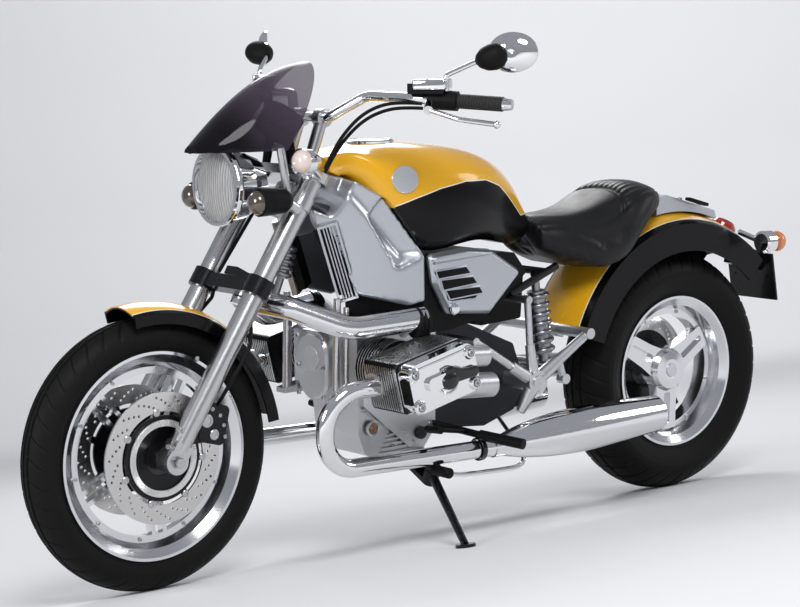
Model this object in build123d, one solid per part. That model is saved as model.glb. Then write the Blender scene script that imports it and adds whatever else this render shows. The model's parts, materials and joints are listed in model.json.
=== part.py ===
from build123d import *
import os
from math import asin, atan2, cos, degrees, hypot, radians, sin, tan

# Cruiser motorcycle with a flat twin engine, single-sided rear swing arm and link-guided fork.
# Millimetres. X forward, Y to the rider's left, Z up. The model is drawn upright, with the rear
# wheel standing at X = 0, and park() leans the whole machine onto its side stand.

# ---------------------------------------------------------------- driving dimensions
WHEELBASE = 1650.0
RAKE = 29.5  # steering axis from the vertical
TRAIL = 86.0
LEAN = 10.0  # lean to the left on the side stand
STEERING_LOCK = 30.0
FIT = 0.3  # clearance between pieces that seat on each other
PIN_FIT = 0.8  # running clearance of a pivot
MOVING_GAP = 5.0  # clearance between pieces that move past each other

FRONT_TYRE_RADIUS = 318.5
FRONT_TYRE_WIDTH = 103.0
FRONT_CROWN_RADIUS = 52.0
FRONT_FLANGE_RADIUS = 242.0
FRONT_RIM_WIDTH = 84.0
REAR_TYRE_RADIUS = 326.5
REAR_TYRE_WIDTH = 170.0
REAR_CROWN_RADIUS = 92.0
REAR_FLANGE_RADIUS = 204.0
REAR_RIM_WIDTH = 126.0
FLANGE_HEIGHT = 13.5  # rim flange above the bead seat
RIM_WALL = 5.0

DRIVE_FACE = 75.0  # right face of the rear hub, where the drive flange begins

FORK_LEG_OFFSET = 110.0  # half the distance between the fork legs
FORK_LEG_RADIUS = 25.0
FORK_LEG_SLOPE = 33.8  # fork legs from the vertical
FORK_TOP = 945.0  # height of the top ends of the legs
YOKE_HEIGHT = 952.0  # height of the steering pivot at the top
YOKE_DROP = 47.0  # underside of the yoke plate below the pivot, along the steering axis
BALL_HEIGHT = 650.0  # height of the lower steering ball joint
AXLE_RADIUS = 14.0
AXLE_BORE = 9.0
AXLE_LENGTH = 276.0
DISC_RADIUS = 152.5
DISC_THICKNESS = 5.0
DISC_OFFSET = 69.5  # disc centre plane from the wheel centre plane

HANDLEBAR_RADIUS = 12.5
CYLINDER_OFFSET = 19.0  # left cylinder forward and right cylinder rearward of the middle
HEADER_RADIUS = 22.0
MUFFLER_RADIUS = 57.0
MUFFLER_OFFSET = 230.0  # muffler axis from the centre plane
SWING_PIVOT = (612.0, 383.0)  # x and height of the rear swing arm's pivot


# ---------------------------------------------------------------- shared geometry
def steering_point(height):
    """The point of the steering axis at a height."""
    return Vector(WHEELBASE + TRAIL - height * tan(radians(RAKE)), 0, height)


def leg_point(height, side=1):
    """The point of a fork leg's axis at a height."""
    rise = height - FRONT_TYRE_RADIUS
    return Vector(WHEELBASE - rise * tan(radians(FORK_LEG_SLOPE)), side * FORK_LEG_OFFSET, height)


STEERING_AXIS = Vector(-sin(radians(RAKE)), 0, cos(radians(RAKE)))
LEG_AXIS = Vector(-sin(radians(FORK_LEG_SLOPE)), 0, cos(radians(FORK_LEG_SLOPE)))


def rod(start, end, radius, end_radius=None):
    """A round bar or cone between two points."""
    start, end = Vector(start), Vector(end)
    plane = Plane(origin=start, z_dir=end - start)
    length = (end - start).length
    if end_radius is None:
        bar = Cylinder(radius, length, align=(Align.CENTER, Align.CENTER, Align.MIN))
    else:
        bar = Cone(radius, end_radius, length, align=(Align.CENTER, Align.CENTER, Align.MIN))
    return plane * bar


def route(points, bends):
    """Straight runs between points, joined by tangent arcs of the given radii."""
    points = [Vector(point) for point in points]
    edges = []
    start = points[0]
    for corner, after, bend in zip(points[1:-1], points[2:], bends):
        back = (start - corner).normalized()
        ahead = (after - corner).normalized()
        half_angle = radians(back.get_angle(ahead)) / 2
        setback = bend / tan(half_angle)
        middle = corner + (back + ahead).normalized() * (bend / sin(half_angle) - bend)
        entry = corner + back * setback
        leave = corner + ahead * setback
        edges.append(Line(start, entry))
        edges.append(ThreePointArc(entry, middle, leave))
        start = leave
    edges.append(Line(start, points[-1]))
    return Wire(edges)


def bent_tube(points, bends, radius, bore=0):
    """A round tube along a route."""
    path = route(points, bends)
    section = Circle(radius)
    if bore:
        section -= Circle(bore)
    return sweep(Plane(origin=path @ 0, z_dir=path % 0) * section, path=path)


def slab(outline, low, high):
    """A flat piece with an outline drawn in X and Z, between two Y planes."""
    return Pos(0, high, 0) * extrude(Plane.XZ * outline, high - low)


def polygon(points, rounding=0):
    """A closed outline through corner points, with rounded corners."""
    face = make_face(Polyline(*points, close=True))
    if rounding:
        face = fillet(face.vertices(), rounding)
    return face


def both_sides(piece):
    """A left piece and its mirror image."""
    return piece + mirror(piece, about=Plane.XZ)


def on_axle(piece, x, height):
    """Turns a piece drawn about Z to lie about a wheel axle, with its top side to the left."""
    return Pos(x, 0, height) * Rot(-90, 0, 0) * piece


def ring(outer, inner, low, high):
    """A flat ring about Z."""
    return Pos(0, 0, (low + high) / 2) * (Cylinder(outer, high - low) - Cylinder(inner, high - low))


def spun(points):
    """A solid of revolution about Z from (radius, height) points."""
    return revolve(Plane.XZ * make_face(Polyline(*points, close=True)), Axis.Z)


# ---------------------------------------------------------------- wheels
def tyre(radius, width, crown, flange_radius, rim_width):
    """A tyre: round crown, bulged sidewalls and beads that sit inside the rim flanges."""
    half = width / 2
    crown_centre = radius - crown
    spread = asin(half / crown * 0.999)
    shoulder = (crown_centre + crown * cos(spread), half)
    bead_half = rim_width / 2 - RIM_WALL - FIT
    rise = flange_radius + 2
    seat = flange_radius - FLANGE_HEIGHT + FIT
    bulge = ((shoulder[0] + rise) / 2 - 1, half - (half - bead_half) * 0.28)
    outline = [
        ThreePointArc((shoulder[0], -half), (radius, 0), shoulder),
        ThreePointArc(shoulder, bulge, (rise, bead_half)),
        Line((rise, bead_half), (seat, bead_half)),
        Line((seat, bead_half), (seat, -bead_half)),
        Line((seat, -bead_half), (rise, -bead_half)),
        ThreePointArc((rise, -bead_half), (bulge[0], -bulge[1]), (shoulder[0], -half)),
    ]
    return revolve(Plane.XZ * make_face(outline), Axis.Z)


def rim(flange_radius, rim_width, well_radius):
    """A cast rim barrel: two flanges, bead seats and a dropped well."""
    half = rim_width / 2
    seat = flange_radius - FLANGE_HEIGHT
    return spun([
        (flange_radius, half), (flange_radius, half - RIM_WALL), (seat, half - RIM_WALL),
        (seat, -half + RIM_WALL), (flange_radius, -half + RIM_WALL), (flange_radius, -half),
        (flange_radius - 7, -half), (seat - 12, -half + 14), (well_radius, -half * 0.3),
        (well_radius, half * 0.3), (seat - 12, half - 14), (flange_radius - 7, half),
    ])


def front_tyre():
    piece = tyre(
        FRONT_TYRE_RADIUS, FRONT_TYRE_WIDTH, FRONT_CROWN_RADIUS, FRONT_FLANGE_RADIUS, FRONT_RIM_WIDTH
    )
    return on_axle(piece, WHEELBASE, FRONT_TYRE_RADIUS)


def front_wheel_casting():
    """Rim, bolted spoke ring with five pairs of bars, and a hub with disc flanges."""
    well = 204.0
    piece = rim(FRONT_FLANGE_RADIUS, FRONT_RIM_WIDTH, well)
    piece += ring(well + 2, 188, -11, 11)
    hub_half = DISC_OFFSET - DISC_THICKNESS / 2 - FIT - 4
    piece += Cylinder(36, 2 * hub_half)
    piece += ring(62, 30, hub_half - 7, hub_half)
    piece += ring(62, 30, -hub_half, -hub_half + 7)
    bar = Pos(112, 0, 0) * Box(160, 11, 22)
    for turn in range(0, 360, 72):
        for shift in (-15, 15):
            piece += Rot(0, 0, turn + 25) * Pos(0, shift, 0) * bar
    piece -= Cylinder(AXLE_RADIUS + PIN_FIT, 200)
    return on_axle(piece, WHEELBASE, FRONT_TYRE_RADIUS)


def front_brake_discs():
    """A floating disc on a carrier each side, and the toothed speed ring on the left."""
    low = DISC_OFFSET - DISC_THICKNESS / 2
    disc = ring(DISC_RADIUS, 112, low, low + DISC_THICKNESS)
    disc += ring(113, 86, low, low + 3)
    disc += ring(87, 52, low - 4, low + 2)
    left = disc + ring(78, 68, low + 1, low + 8)
    right = mirror(disc, about=Plane.XY)
    return on_axle(left + right, WHEELBASE, FRONT_TYRE_RADIUS)


def rear_tyre():
    piece = tyre(
        REAR_TYRE_RADIUS, REAR_TYRE_WIDTH, REAR_CROWN_RADIUS, REAR_FLANGE_RADIUS, REAR_RIM_WIDTH
    )
    return on_axle(piece, 0, REAR_TYRE_RADIUS)


def rear_wheel_casting():
    """Deep rim with three broad grooved spokes and a dished hub cover."""
    well = 166.0
    piece = rim(REAR_FLANGE_RADIUS, REAR_RIM_WIDTH, well)
    piece += ring(well + 2, 152, -20, 20)
    blade = Pos(0, 0, -4) * extrude(polygon([(20, -44), (90, -34), (162, -30), (162, 30), (90, 34), (20, 44)]), 30)
    groove = Pos(0, 0, 14) * extrude(polygon([(64, -12), (150, -8), (150, 8), (64, 12)], 6), 20)
    for turn in (90, 210, 330):
        piece += Rot(0, 0, turn) * (blade - groove)
    piece += Pos(0, 0, -20) * Cylinder(58, 70)
    piece += Pos(0, 0, -DRIVE_FACE / 2) * Cylinder(36, DRIVE_FACE)
    piece += spun([(0, 10), (52, 10), (58, 18), (58, 30), (50, 40), (30, 44), (0, 44)])
    return on_axle(piece, 0, REAR_TYRE_RADIUS)


def rear_brake_disc():
    """Ventilated disc on the drive side of the wheel."""
    disc = ring(142, 60, -62, -56)
    disc += ring(66, 36 + FIT, -60, -55 - FIT)
    return on_axle(disc, 0, REAR_TYRE_RADIUS)


# ---------------------------------------------------------------- fork and steering
def front_axle():
    """Hollow wheel axle that joins the feet of the fork legs."""
    tube = Cylinder(AXLE_RADIUS, AXLE_LENGTH) - Cylinder(AXLE_BORE, AXLE_LENGTH + 20)
    return on_axle(tube, WHEELBASE, FRONT_TYRE_RADIUS)


def fork_legs():
    """Two round legs with a pinch-bolt foot around the axle."""
    foot = Vector(WHEELBASE, FORK_LEG_OFFSET, FRONT_TYRE_RADIUS)
    leg = rod(foot + LEG_AXIS * 18, leg_point(FORK_TOP), FORK_LEG_RADIUS)
    leg += Pos(*foot) * Rot(90, 0, 0) * Cylinder(29, 48)
    leg += Plane(origin=foot, z_dir=LEG_AXIS) * Pos(0, 0, 24) * Box(46, 46, 40)
    leg -= Pos(*foot) * Rot(90, 0, 0) * Cylinder(AXLE_RADIUS + FIT, 80)
    return both_sides(leg)


def leg_collars(height, thickness, outer):
    """Clamping rings around both legs."""
    low = leg_point(height) - LEG_AXIS * thickness / 2
    return both_sides(rod(low, low + LEG_AXIS * thickness, outer))


def leg_bores():
    """Room for both legs, with the seat clearance."""
    return both_sides(rod(leg_point(FRONT_TYRE_RADIUS), leg_point(1100), FORK_LEG_RADIUS + FIT))


def fork_bridge():
    """Cross piece between the legs, with a tongue back to the lower ball joint."""
    height = BALL_HEIGHT + 38
    middle = leg_point(height)
    plane = Plane(origin=(middle.X, 0, height), z_dir=LEG_AXIS)
    beam = plane * Box(34, 2 * FORK_LEG_OFFSET, 34)
    ball = steering_point(BALL_HEIGHT)
    axis_plane = Plane(origin=ball, z_dir=STEERING_AXIS)
    tongue = axis_plane * Pos(0, 0, 46) * Cylinder(24, 22)
    reach = middle.X - ball.X + 30
    tongue += axis_plane * Pos(reach / 2, 0, 46) * Box(reach, 44, 20)
    return beam + tongue + leg_collars(height, 44, 33) - leg_bores()


def upper_fork_yoke():
    """Top plate that ties the legs to the steering pivot, with the handlebar risers."""
    pivot = steering_point(YOKE_HEIGHT)
    plane = Plane(origin=pivot, z_dir=STEERING_AXIS)
    local = plane.to_local_coords(leg_point(FORK_TOP - 14))
    outline = make_hull(
        (Circle(26) + Pos(local.X, local.Y) * Circle(36) + Pos(local.X, -local.Y) * Circle(36)).edges()
    )
    yoke = plane * Pos(0, 0, -YOKE_DROP) * extrude(outline, 24)
    yoke += plane * Pos(0, 0, -YOKE_DROP - 30) * Cylinder(12, 80)
    x, _, bar_height = BAR_ROUTE[0]
    for y in (-44, 44):
        yoke += rod((1211, y, 935), (x, y, bar_height), 15)
        yoke += Pos(x, y, bar_height) * Rot(90, 0, 0) * Cylinder(22, 26)
    yoke -= Pos(x, 0, bar_height) * Rot(90, 0, 0) * Cylinder(HANDLEBAR_RADIUS + FIT, 200)
    return yoke - leg_bores()


# ---------------------------------------------------------------- nose and lamps
HEADLIGHT_CENTRE = (1438.0, 920.0)  # x of the lens face and height of the lamp's axis
HEADLIGHT_RADIUS = 91.0
LAMP_SPREAD = 118.0  # auxiliary lamps from the centre plane


def turned_along_x(points, x, y, height):
    """A solid of revolution about a fore-and-aft axis from (radius, x offset) points."""
    return Pos(x, y, height) * Rot(0, 90, 0) * spun(points)


def headlight_shell():
    """Round lamp bowl with a rim around the lens."""
    face, height = HEADLIGHT_CENTRE
    outline = [
        (0, -128), (34, -126), (62, -104), (82, -60), (88, -18), (92, -16), (92, 4), (84, 4),
        (84, -14), (80, -22), (76, -58), (58, -98), (32, -120), (0, -122),
    ]
    return turned_along_x(outline, face, 0, height)


def headlight_lens():
    """Domed glass seated in the rim."""
    face, height = HEADLIGHT_CENTRE
    radius = 84 - FIT
    dome = [(0, 12), (40, 9), (66, 3), (radius, -5), (radius, -11), (66, -4), (40, 2), (0, 5)]
    return turned_along_x(dome, face, 0, height)


def headlight_bracket():
    """Cross bar between the legs with ears that hold the headlight and the two lamps."""
    height = 868.0
    middle = leg_point(height)
    front = middle.X + 25
    piece = rod((front, -FORK_LEG_OFFSET, height), (front, FORK_LEG_OFFSET, height), 12)
    piece += leg_collars(height + 8, 30, 28)
    shell_side = 88 + FIT
    ear = Pos(1356, shell_side + 2.5, 905) * Box(130, 5, 26)
    ear += rod((front, 97, height), (1312, 97, 900), 9)
    ear += rod((front, 112, height), (1322, 99, 1006), 10)
    lamp_y = LAMP_SPREAD + 16
    ear += rod((front, 100, height), (front, lamp_y + 8, height), 12)
    ear += rod((front, lamp_y, height), (1332, lamp_y, 886), 12)
    piece += both_sides(ear)
    return piece - leg_bores() - auxiliary_lamps() - windscreen() - headlight_shell()


def auxiliary_lamps():
    """Small round lamps carried ahead of the fork legs."""
    outline = [(0, -86), (20, -84), (29, -70), (32, -30), (33, 0), (26, 8), (12, 12), (0, 13)]
    lamp = turned_along_x(outline, 1412, LAMP_SPREAD + 16, 888)
    return both_sides(lamp)


def windscreen():
    """Tinted nose screen: a lofted shell of arches, cut along a raked rear edge."""
    stations = [(1140, 112, 200), (1230, 114, 190), (1320, 104, 154), (1400, 86, 100), (1504, 26, 16)]
    wall = 4.0
    base = 1000.0
    rake = radians(34)

    def arch(x, half_width, crown, floor):
        plane = Plane(origin=(x, 0, floor), x_dir=(0, 1, 0), z_dir=(1, 0, 0))
        return plane * (Ellipse(half_width, crown) & Pos(0, crown) * Rectangle(400, 2 * crown))

    outer = loft([arch(x, width, crown, base) for x, width, crown in stations])
    inner = loft([arch(x - wall, width - wall, crown, base - wall) for x, width, crown in stations])
    rear = Plane(origin=(1305, 0, base), z_dir=(-cos(rake), 0, -sin(rake)))
    return outer - inner - rear * Pos(0, 0, 200) * Box(900, 900, 400)


def instrument_pod():
    """Round instrument tilted to the rider, on a stem from the yoke."""
    pod = Plane(origin=(1235, 0, 1080), z_dir=(-0.62, 0, 0.78))
    piece = pod * Pos(0, 0, -30) * Cylinder(50, 60)
    piece += rod((1240, 0, 1060), (1212, 0, 930), 14)
    return piece - upper_fork_yoke()


def front_indicators():
    """Round lamps on short stalks beside the upper fork legs."""
    stalk = rod((1244, 141, 938), (1300, 172, 974), 8) - upper_fork_yoke() - leg_bores()
    lamp = turned_along_x([(0, -46), (16, -42), (30, -20), (33, 6), (26, 16), (0, 20)], 1316, 178, 976)
    return both_sides(lamp + stalk)


# ---------------------------------------------------------------- handlebar and controls
BAR_ROUTE = [(1160, 0, 1066), (1160, 68, 1066), (1106, 148, 1118), (1078, 300, 1115), (965, 473, 1101)]
BAR_BENDS = [40, 60, 90]
BAR_END = Vector(BAR_ROUTE[-1])
GRIP_AXIS = (BAR_END - Vector(BAR_ROUTE[-2])).normalized()


def handlebar():
    """Wide bar with a low middle, a rise on each side and swept ends."""
    x, _, height = BAR_ROUTE[0]
    half = [(x, 30, height)] + BAR_ROUTE[1:]
    left = bent_tube(half, BAR_BENDS, HANDLEBAR_RADIUS)
    middle = Pos(x, 0, height) * Rot(90, 0, 0) * Cylinder(HANDLEBAR_RADIUS, 61)
    weight = rod(BAR_END + GRIP_AXIS * FIT, BAR_END + GRIP_AXIS * 22, 15, 12)
    left += rod(BAR_END - GRIP_AXIS, BAR_END + GRIP_AXIS, HANDLEBAR_RADIUS) + weight
    return both_sides(left) + middle


def grips():
    """Rubber sleeves over the bar ends."""
    start = BAR_END - GRIP_AXIS * 107
    sleeve = rod(start, BAR_END, 17) - rod(start - GRIP_AXIS, BAR_END + GRIP_AXIS, HANDLEBAR_RADIUS + FIT)
    return both_sides(sleeve)


def control_housings():
    """Switch blocks with brake and clutch reservoirs above them."""
    inner = BAR_END - GRIP_AXIS * 176
    outer = BAR_END - GRIP_AXIS * 108
    block = rod(inner, outer, 23)
    tank = Plane(origin=(1066, 328, 1138), x_dir=GRIP_AXIS)
    block += tank * Box(86, 46, 24)
    block -= rod(inner, outer + GRIP_AXIS * 9, HANDLEBAR_RADIUS + FIT)
    return both_sides(block) - handlebar()


def levers():
    """Hand levers that run ahead of the grips."""
    route_points = [(1090, 352, 1092), (1062, 430, 1070), (1008, 500, 1058)]
    lever = bent_tube(route_points, [70], 6)
    lever += Pos(1008, 500, 1058) * Sphere(9)
    lever += rod((1072, 340, 1104), (1094, 362, 1090), 11)
    return both_sides(lever - control_housings())


def mirrors():
    """Oval mirror heads on bent stems."""
    stem = bent_tube([(1047, 370, 1132), (1047, 370, 1168), (990, 420, 1200), (948, 480, 1216)], [14, 40], 6)
    bowl = revolve(Plane.XZ * make_face([
        ThreePointArc((0, -16), (34, -10), (46, 2)), Line((46, 2), (46, 8)), Line((46, 8), (0, 8)),
        Line((0, 8), (0, -16)),
    ]), Axis.Z)
    oval = scale(bowl, by=(1.26, 1, 1))
    head = Plane(origin=(948, 488, 1218), x_dir=(-0.57, 0.82, 0), z_dir=(-0.82, -0.57, 0)) * oval
    return both_sides(stem + head) - control_housings()


def front_fender():
    """Close guard over the front wheel, from ahead of the crown down behind the tyre."""
    outer, inner, half = 352.0, 346.0, 66.0
    side = 306.0
    section = make_face([
        ThreePointArc((outer - 20, -half), (outer, 0), (outer - 20, half)),
        Line((outer - 20, half), (side, half - 3)),
        Line((side, half - 3), (side, half - 8)),
        Line((side, half - 8), (inner - 20, half - 5)),
        ThreePointArc((inner - 20, half - 5), (inner, 0), (inner - 20, 5 - half)),
        Line((inner - 20, 5 - half), (side, 8 - half)),
        Line((side, 8 - half), (side, 3 - half)),
        Line((side, 3 - half), (outer - 20, -half)),
    ])
    guard = revolve(Plane.XZ * section, Axis.Z, revolution_arc=92)
    guard = on_axle(Rot(0, 0, -172) * guard, WHEELBASE, FRONT_TYRE_RADIUS)
    mount = leg_point(582)
    boss = rod((mount.X, half - 6, mount.Z), (mount.X, FORK_LEG_OFFSET, mount.Z), 11)
    return guard + both_sides(boss) - leg_bores()


def brake_calipers():
    """Four-piston calipers behind the fork legs, straddling the discs."""
    low = DISC_OFFSET - DISC_THICKNESS / 2 - MOVING_GAP
    high = DISC_OFFSET + DISC_THICKNESS / 2 + MOVING_GAP
    body = slab(polygon([(1570, 350), (1500, 330), (1478, 420), (1540, 440)], 14), low - 16, high + 18)
    body += slab(polygon([(1530, 345), (1625, 345), (1590, 398), (1530, 430)]), high + 2, high + 16)
    slot = on_axle(ring(DISC_RADIUS + MOVING_GAP, 0.5, low, high), WHEELBASE, FRONT_TYRE_RADIUS)
    return both_sides(body - slot) - fork_legs()


HOSE_RADIUS = 4.5


def brake_hoses():
    """Hose from the right reservoir to the bridge, and one from the bridge to each caliper."""
    supply = bent_tube(
        [(1104, -296, 1136), (1150, -180, 1128), (1214, -84, 1010), (1262, -64, 880), (1392, -64, 712)],
        [60, 70, 120, 200], HOSE_RADIUS
    )
    drop = bent_tube(
        [(1402, 64, 690), (1402, 82, 650), (1452, 146, 560), (1520, 146, 472), (1512, 96, 430)],
        [20, 90, 120, 20], HOSE_RADIUS
    )
    piece = supply + both_sides(drop)
    return piece - control_housings() - fork_bridge() - brake_calipers() - fork_legs() - upper_fork_yoke()


# ---------------------------------------------------------------- frame and front suspension
TANK_LINE = [(1162, 946), (1050, 872), (954, 738)]  # where the tank's lower edge meets the frame


def side_hollow():
    """Wedge-shaped hollow in the left side of the casting, deepest at its front edge."""
    outline = polygon([(1096, 826), (1032, 704), (940, 738), (940, 900), (1060, 880)], 10)
    floor = Plane(origin=(936, 171, 700), z_dir=(0.248, 0.969, 0))
    return slab(outline, 100, 220) & floor * Pos(0, 0, 60) * Box(600, 600, 120)


def head_casting():
    """Steering head, hollow nose with two cheeks, and the spine that hangs the strut."""
    pivot = steering_point(YOKE_HEIGHT)
    outline = polygon([
        (1194, 898), (1220, 850), (1212, 818), (1128, 648), (1000, 612), (954, 620),
        (954, TANK_LINE[-1][1] - FIT),
        *[(x, z - FIT) for x, z in reversed(TANK_LINE)][1:], (1184, 936),
    ])
    cavity = polygon([
        (1300, 560), (1300, 870), (1190, 870), (1100, 826), (975, 720), (940, 700), (900, 560),
    ])
    left_skin = Spline((1240, 60), (1120, 132), (1010, 164), (930, 172))
    right_skin = Spline((930, -172), (1010, -164), (1120, -132), (1240, -60))
    plan = make_face([
        left_skin, Line(left_skin @ 1, right_skin @ 0), right_skin, Line(right_skin @ 1, left_skin @ 0),
    ])
    hollow = make_face(Polyline(
        (1300, 34), (1240, 38), (1190, 74), (1110, 110), (1000, 144), (920, 158), (920, -158),
        (1000, -144), (1110, -110), (1190, -74), (1240, -38), (1300, -34), close=True,
    ))
    cheeks = slab(outline, -200, 200) & Pos(0, 0, 500) * extrude(plan, 500)
    cheeks -= slab(cavity, -200, 200) & Pos(0, 0, 500) * extrude(hollow, 500)
    top = YOKE_DROP + MOVING_GAP
    sweep_room = make_face(Polyline((-34, 0), (-82, 122), (-60, 200), (200, 200), (200, 0), close=True))
    cheeks -= rod(pivot - STEERING_AXIS * top, pivot, 32)
    cheeks -= both_sides(Plane(origin=pivot - STEERING_AXIS * 92, z_dir=STEERING_AXIS) * extrude(sweep_room, 150))
    head = rod(pivot - STEERING_AXIS * (top + 82), pivot - STEERING_AXIS * top, 34)
    spine = slab(polygon([(1215, 905), (1250, 842), (1238, 786), (1216, 786), (1100, 800), (1100, 850)]), -16, 16)
    piece = cheeks + head + spine
    piece -= both_sides(grille_plane() * Box(50, 194, 20)) + both_sides(side_hollow())
    return piece - rod(pivot - STEERING_AXIS * 160, pivot, 12 + PIN_FIT)


def grille_plane():
    """Middle of the left grille on the slanted side of the frame's nose."""
    return Plane(origin=(1165, 100, 727), x_dir=(-0.8, 0.54, 0.26), z_dir=(0.515, 0.843, -0.155))


def cooler_grilles():
    """Slatted covers over the two oil coolers in the nose of the frame."""
    cover = Box(50 - 2 * FIT, 194 - 2 * FIT, 14) - Box(38, 182, 20)
    for shift in (-11, -3.5, 4, 11.5):
        cover += Pos(shift, 0, 0) * Box(3, 184, 10)
    return both_sides(grille_plane() * cover)


def oil_coolers():
    """Finned coolers behind the grilles."""
    core = Pos(0, 0, -22) * Box(44, 168, 18)
    for step in range(7):
        core += Pos(0, -60 + 20 * step, -11) * Box(44, 2, 6)
    return both_sides(grille_plane() * core) - head_casting()


def a_arm():
    """Polished link arm from the engine to the lower steering ball."""
    ball = steering_point(BALL_HEIGHT)
    arm = bent_tube(
        [(ball.X, 0, BALL_HEIGHT), (1300, 92, 630), (1186, 170, 576), (1000, 222, 588)], [60, 110], 28
    )
    piece = both_sides(arm) + rod(ball - STEERING_AXIS * 20, ball + STEERING_AXIS * 20, 27)
    piece += rod((1290, -92, 633), (1290, 92, 633), 18)
    return piece


def front_strut():
    """Spring strut between the link arm and the frame head."""
    strut = spring_strut((1266, 0, 692), (1243, 0, 768), 22, 25, 5, 5)
    strut += rod((1243, 0, 768), (1240, 0, 800), 12)
    strut += rod((1266, 0, 692), (1288, 0, 640), 14)
    return strut - head_casting() - a_arm()


CORE_HALF = 88.0  # half the width of the crankcase between its wheels and sump


def engine_block():
    """Crankcase: a narrow core, the wide cylinder flanges, a timing case in front and a ribbed sump."""
    core = polygon([
        (1110, 552), (1110, 384), (1104, 300), (1086, 250), (1060, 240), (910, 236), (866, 290), (860, 540),
        (900, 556),
    ], 12)
    flange = polygon([(1134, 548), (1134, 396), (960, 396), (904, 430), (900, 540), (1080, 558)], 12)
    timing = polygon([(1100, 548), (1146, 548), (1146, 396), (1100, 384)], 6)
    block = slab(core, -CORE_HALF, CORE_HALF) + slab(flange, -128, 128) + slab(timing, -80, 80)
    web = slab(polygon([(1096, 392), (1096, 372), (958, 254), (940, 262)]), CORE_HALF - 1, CORE_HALF + 12)
    side = web + rod((1060, CORE_HALF - 1, 310), (1060, CORE_HALF + 9, 310), 17)
    for step in range(5):
        side += Pos(990, CORE_HALF + 4, 248 + 11 * step) * Box(110 - 14 * step, 10, 4)
    side += rod((992, 110, 540), (988, 206, 584), 17, 14)
    return block + both_sides(side - a_arm())


def engine_front_cover():
    """Domed cover over the belt drive at the front of the crankcase."""
    back = Pos(1140, 0, 468) * Rot(0, 90, 0)
    cover = back * extrude(RectangleRounded(168, 124, 56), 28)
    cover += back * Pos(0, 0, 28) * extrude(RectangleRounded(160, 116, 52), 8, taper=30)
    return cover - engine_block() - down_tubes()


def down_tubes():
    """Two short tubes a side from the nose casting down to a foot on the crankcase."""
    tubes = rod((1170, 102, 640), (1180, 102, 400), 9) + rod((1154, 116, 620), (1160, 116, 400), 7)
    foot = slab(polygon([(1134 + FIT, 414), (1192, 404), (1192, 392), (1134 + FIT, 392)]), 90, 126)
    return both_sides(tubes + foot) - head_casting() - a_arm() - engine_block()


def gearbox():
    """Gearbox housing behind the crankcase."""
    outline = polygon([(900, 520), (900, 290), (700, 270), (600, 300), (560, 360), (600, 470), (760, 540)], 14)
    return slab(outline, -78, 78) - engine_block()


def cylinder_place(side):
    """Middle of a cylinder where it leaves the crankcase."""
    return (1057 + side * CYLINDER_OFFSET, side * 128, 472)


def cylinders():
    """Barrels with round cooling fins."""
    piece = Part()
    for side in (1, -1):
        x, y, height = cylinder_place(side)
        piece += rod((x, y + side * FIT, height), (x, y + side * 92, height), 58)
        for step in range(9):
            start = y + side * (6 + 9.6 * step)
            piece += rod((x, start, height), (x, start + side * 3, height), 71)
    return piece


def head_block(side, near, far, length, height, rounding):
    """A rounded block across a cylinder head, tilted up to the rear."""
    x, y, z = cylinder_place(side)
    block = extrude(RectangleRounded(length, height, rounding), far - near)
    return Pos(x, side * near if side > 0 else side * far, z) * Rot(0, 13, 0) * Rot(-90, 0, 0) * block


def cylinder_heads():
    """Heads: a core with flat cooling fins around it."""
    piece = Part()
    for side in (1, -1):
        piece += head_block(side, 221, 340, 188, 106, 14)
        for step in range(14):
            piece += head_block(side, 224 + step * 8.2, 227 + step * 8.2, 208, 126, 18)
        piece += head_block(side, 336, 340, 208, 126, 18)
    return piece


def valve_covers():
    """Covers over the valve gear, each with a raised plug cover."""
    piece = Part()
    for side in (1, -1):
        piece += head_block(side, 340 + FIT, 384, 200, 118, 26)
        piece += head_block(side, 383, 394, 110, 32, 14)
    return piece


def throttle_bodies():
    """Intake stubs behind the heads."""
    piece = Part()
    for side in (1, -1):
        x, _, _ = cylinder_place(side)
        piece += rod((x - 90, side * 286, 500), (x - 205, side * 286, 492), 26)
        piece += rod((x - 90, side * 286, 430), (x - 225, side * 286, 420), 30)
    return piece - cylinder_heads()


MUFFLER_START = 251.0  # height of the exhaust axis where the silencers begin
MUFFLER_RISE = 1.4  # silencer axis, up to the rear


def exhaust_headers():
    """Wide bends from the heads round to the silencers."""
    piece = Part()
    for side in (1, -1):
        x, _, _ = cylinder_place(side)
        points = [
            (x + 80, side * 262, 450), (x + 240, side * 244, 446), (x + 236, side * 230, 262),
            (806, side * MUFFLER_OFFSET, MUFFLER_START),
        ]
        piece += bent_tube(points, [92, 88], HEADER_RADIUS)
    return piece - cylinder_heads()


def mufflers():
    """Long silencers that swell behind a cone and end in a flat cut."""
    throat = HEADER_RADIUS + 3
    outline = [
        Line((0, 0), (throat, 0)),
        Line((throat, 0), (throat + 1, 30)),
        Spline((throat + 1, 30), (MUFFLER_RADIUS - 5, 180), (MUFFLER_RADIUS, 340), (46, 560)),
        Line((46, 560), (41, 560)),
        Line((41, 560), (41, 500)),
        Line((41, 500), (0, 500)),
        Line((0, 500), (0, 0)),
    ]
    body = revolve(Plane.XZ * make_face(outline), Axis.Z)
    muffler = Pos(806 - FIT, MUFFLER_OFFSET, MUFFLER_START) * Rot(0, MUFFLER_RISE - 90, 0) * body
    return both_sides(muffler) - exhaust_headers()


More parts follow.
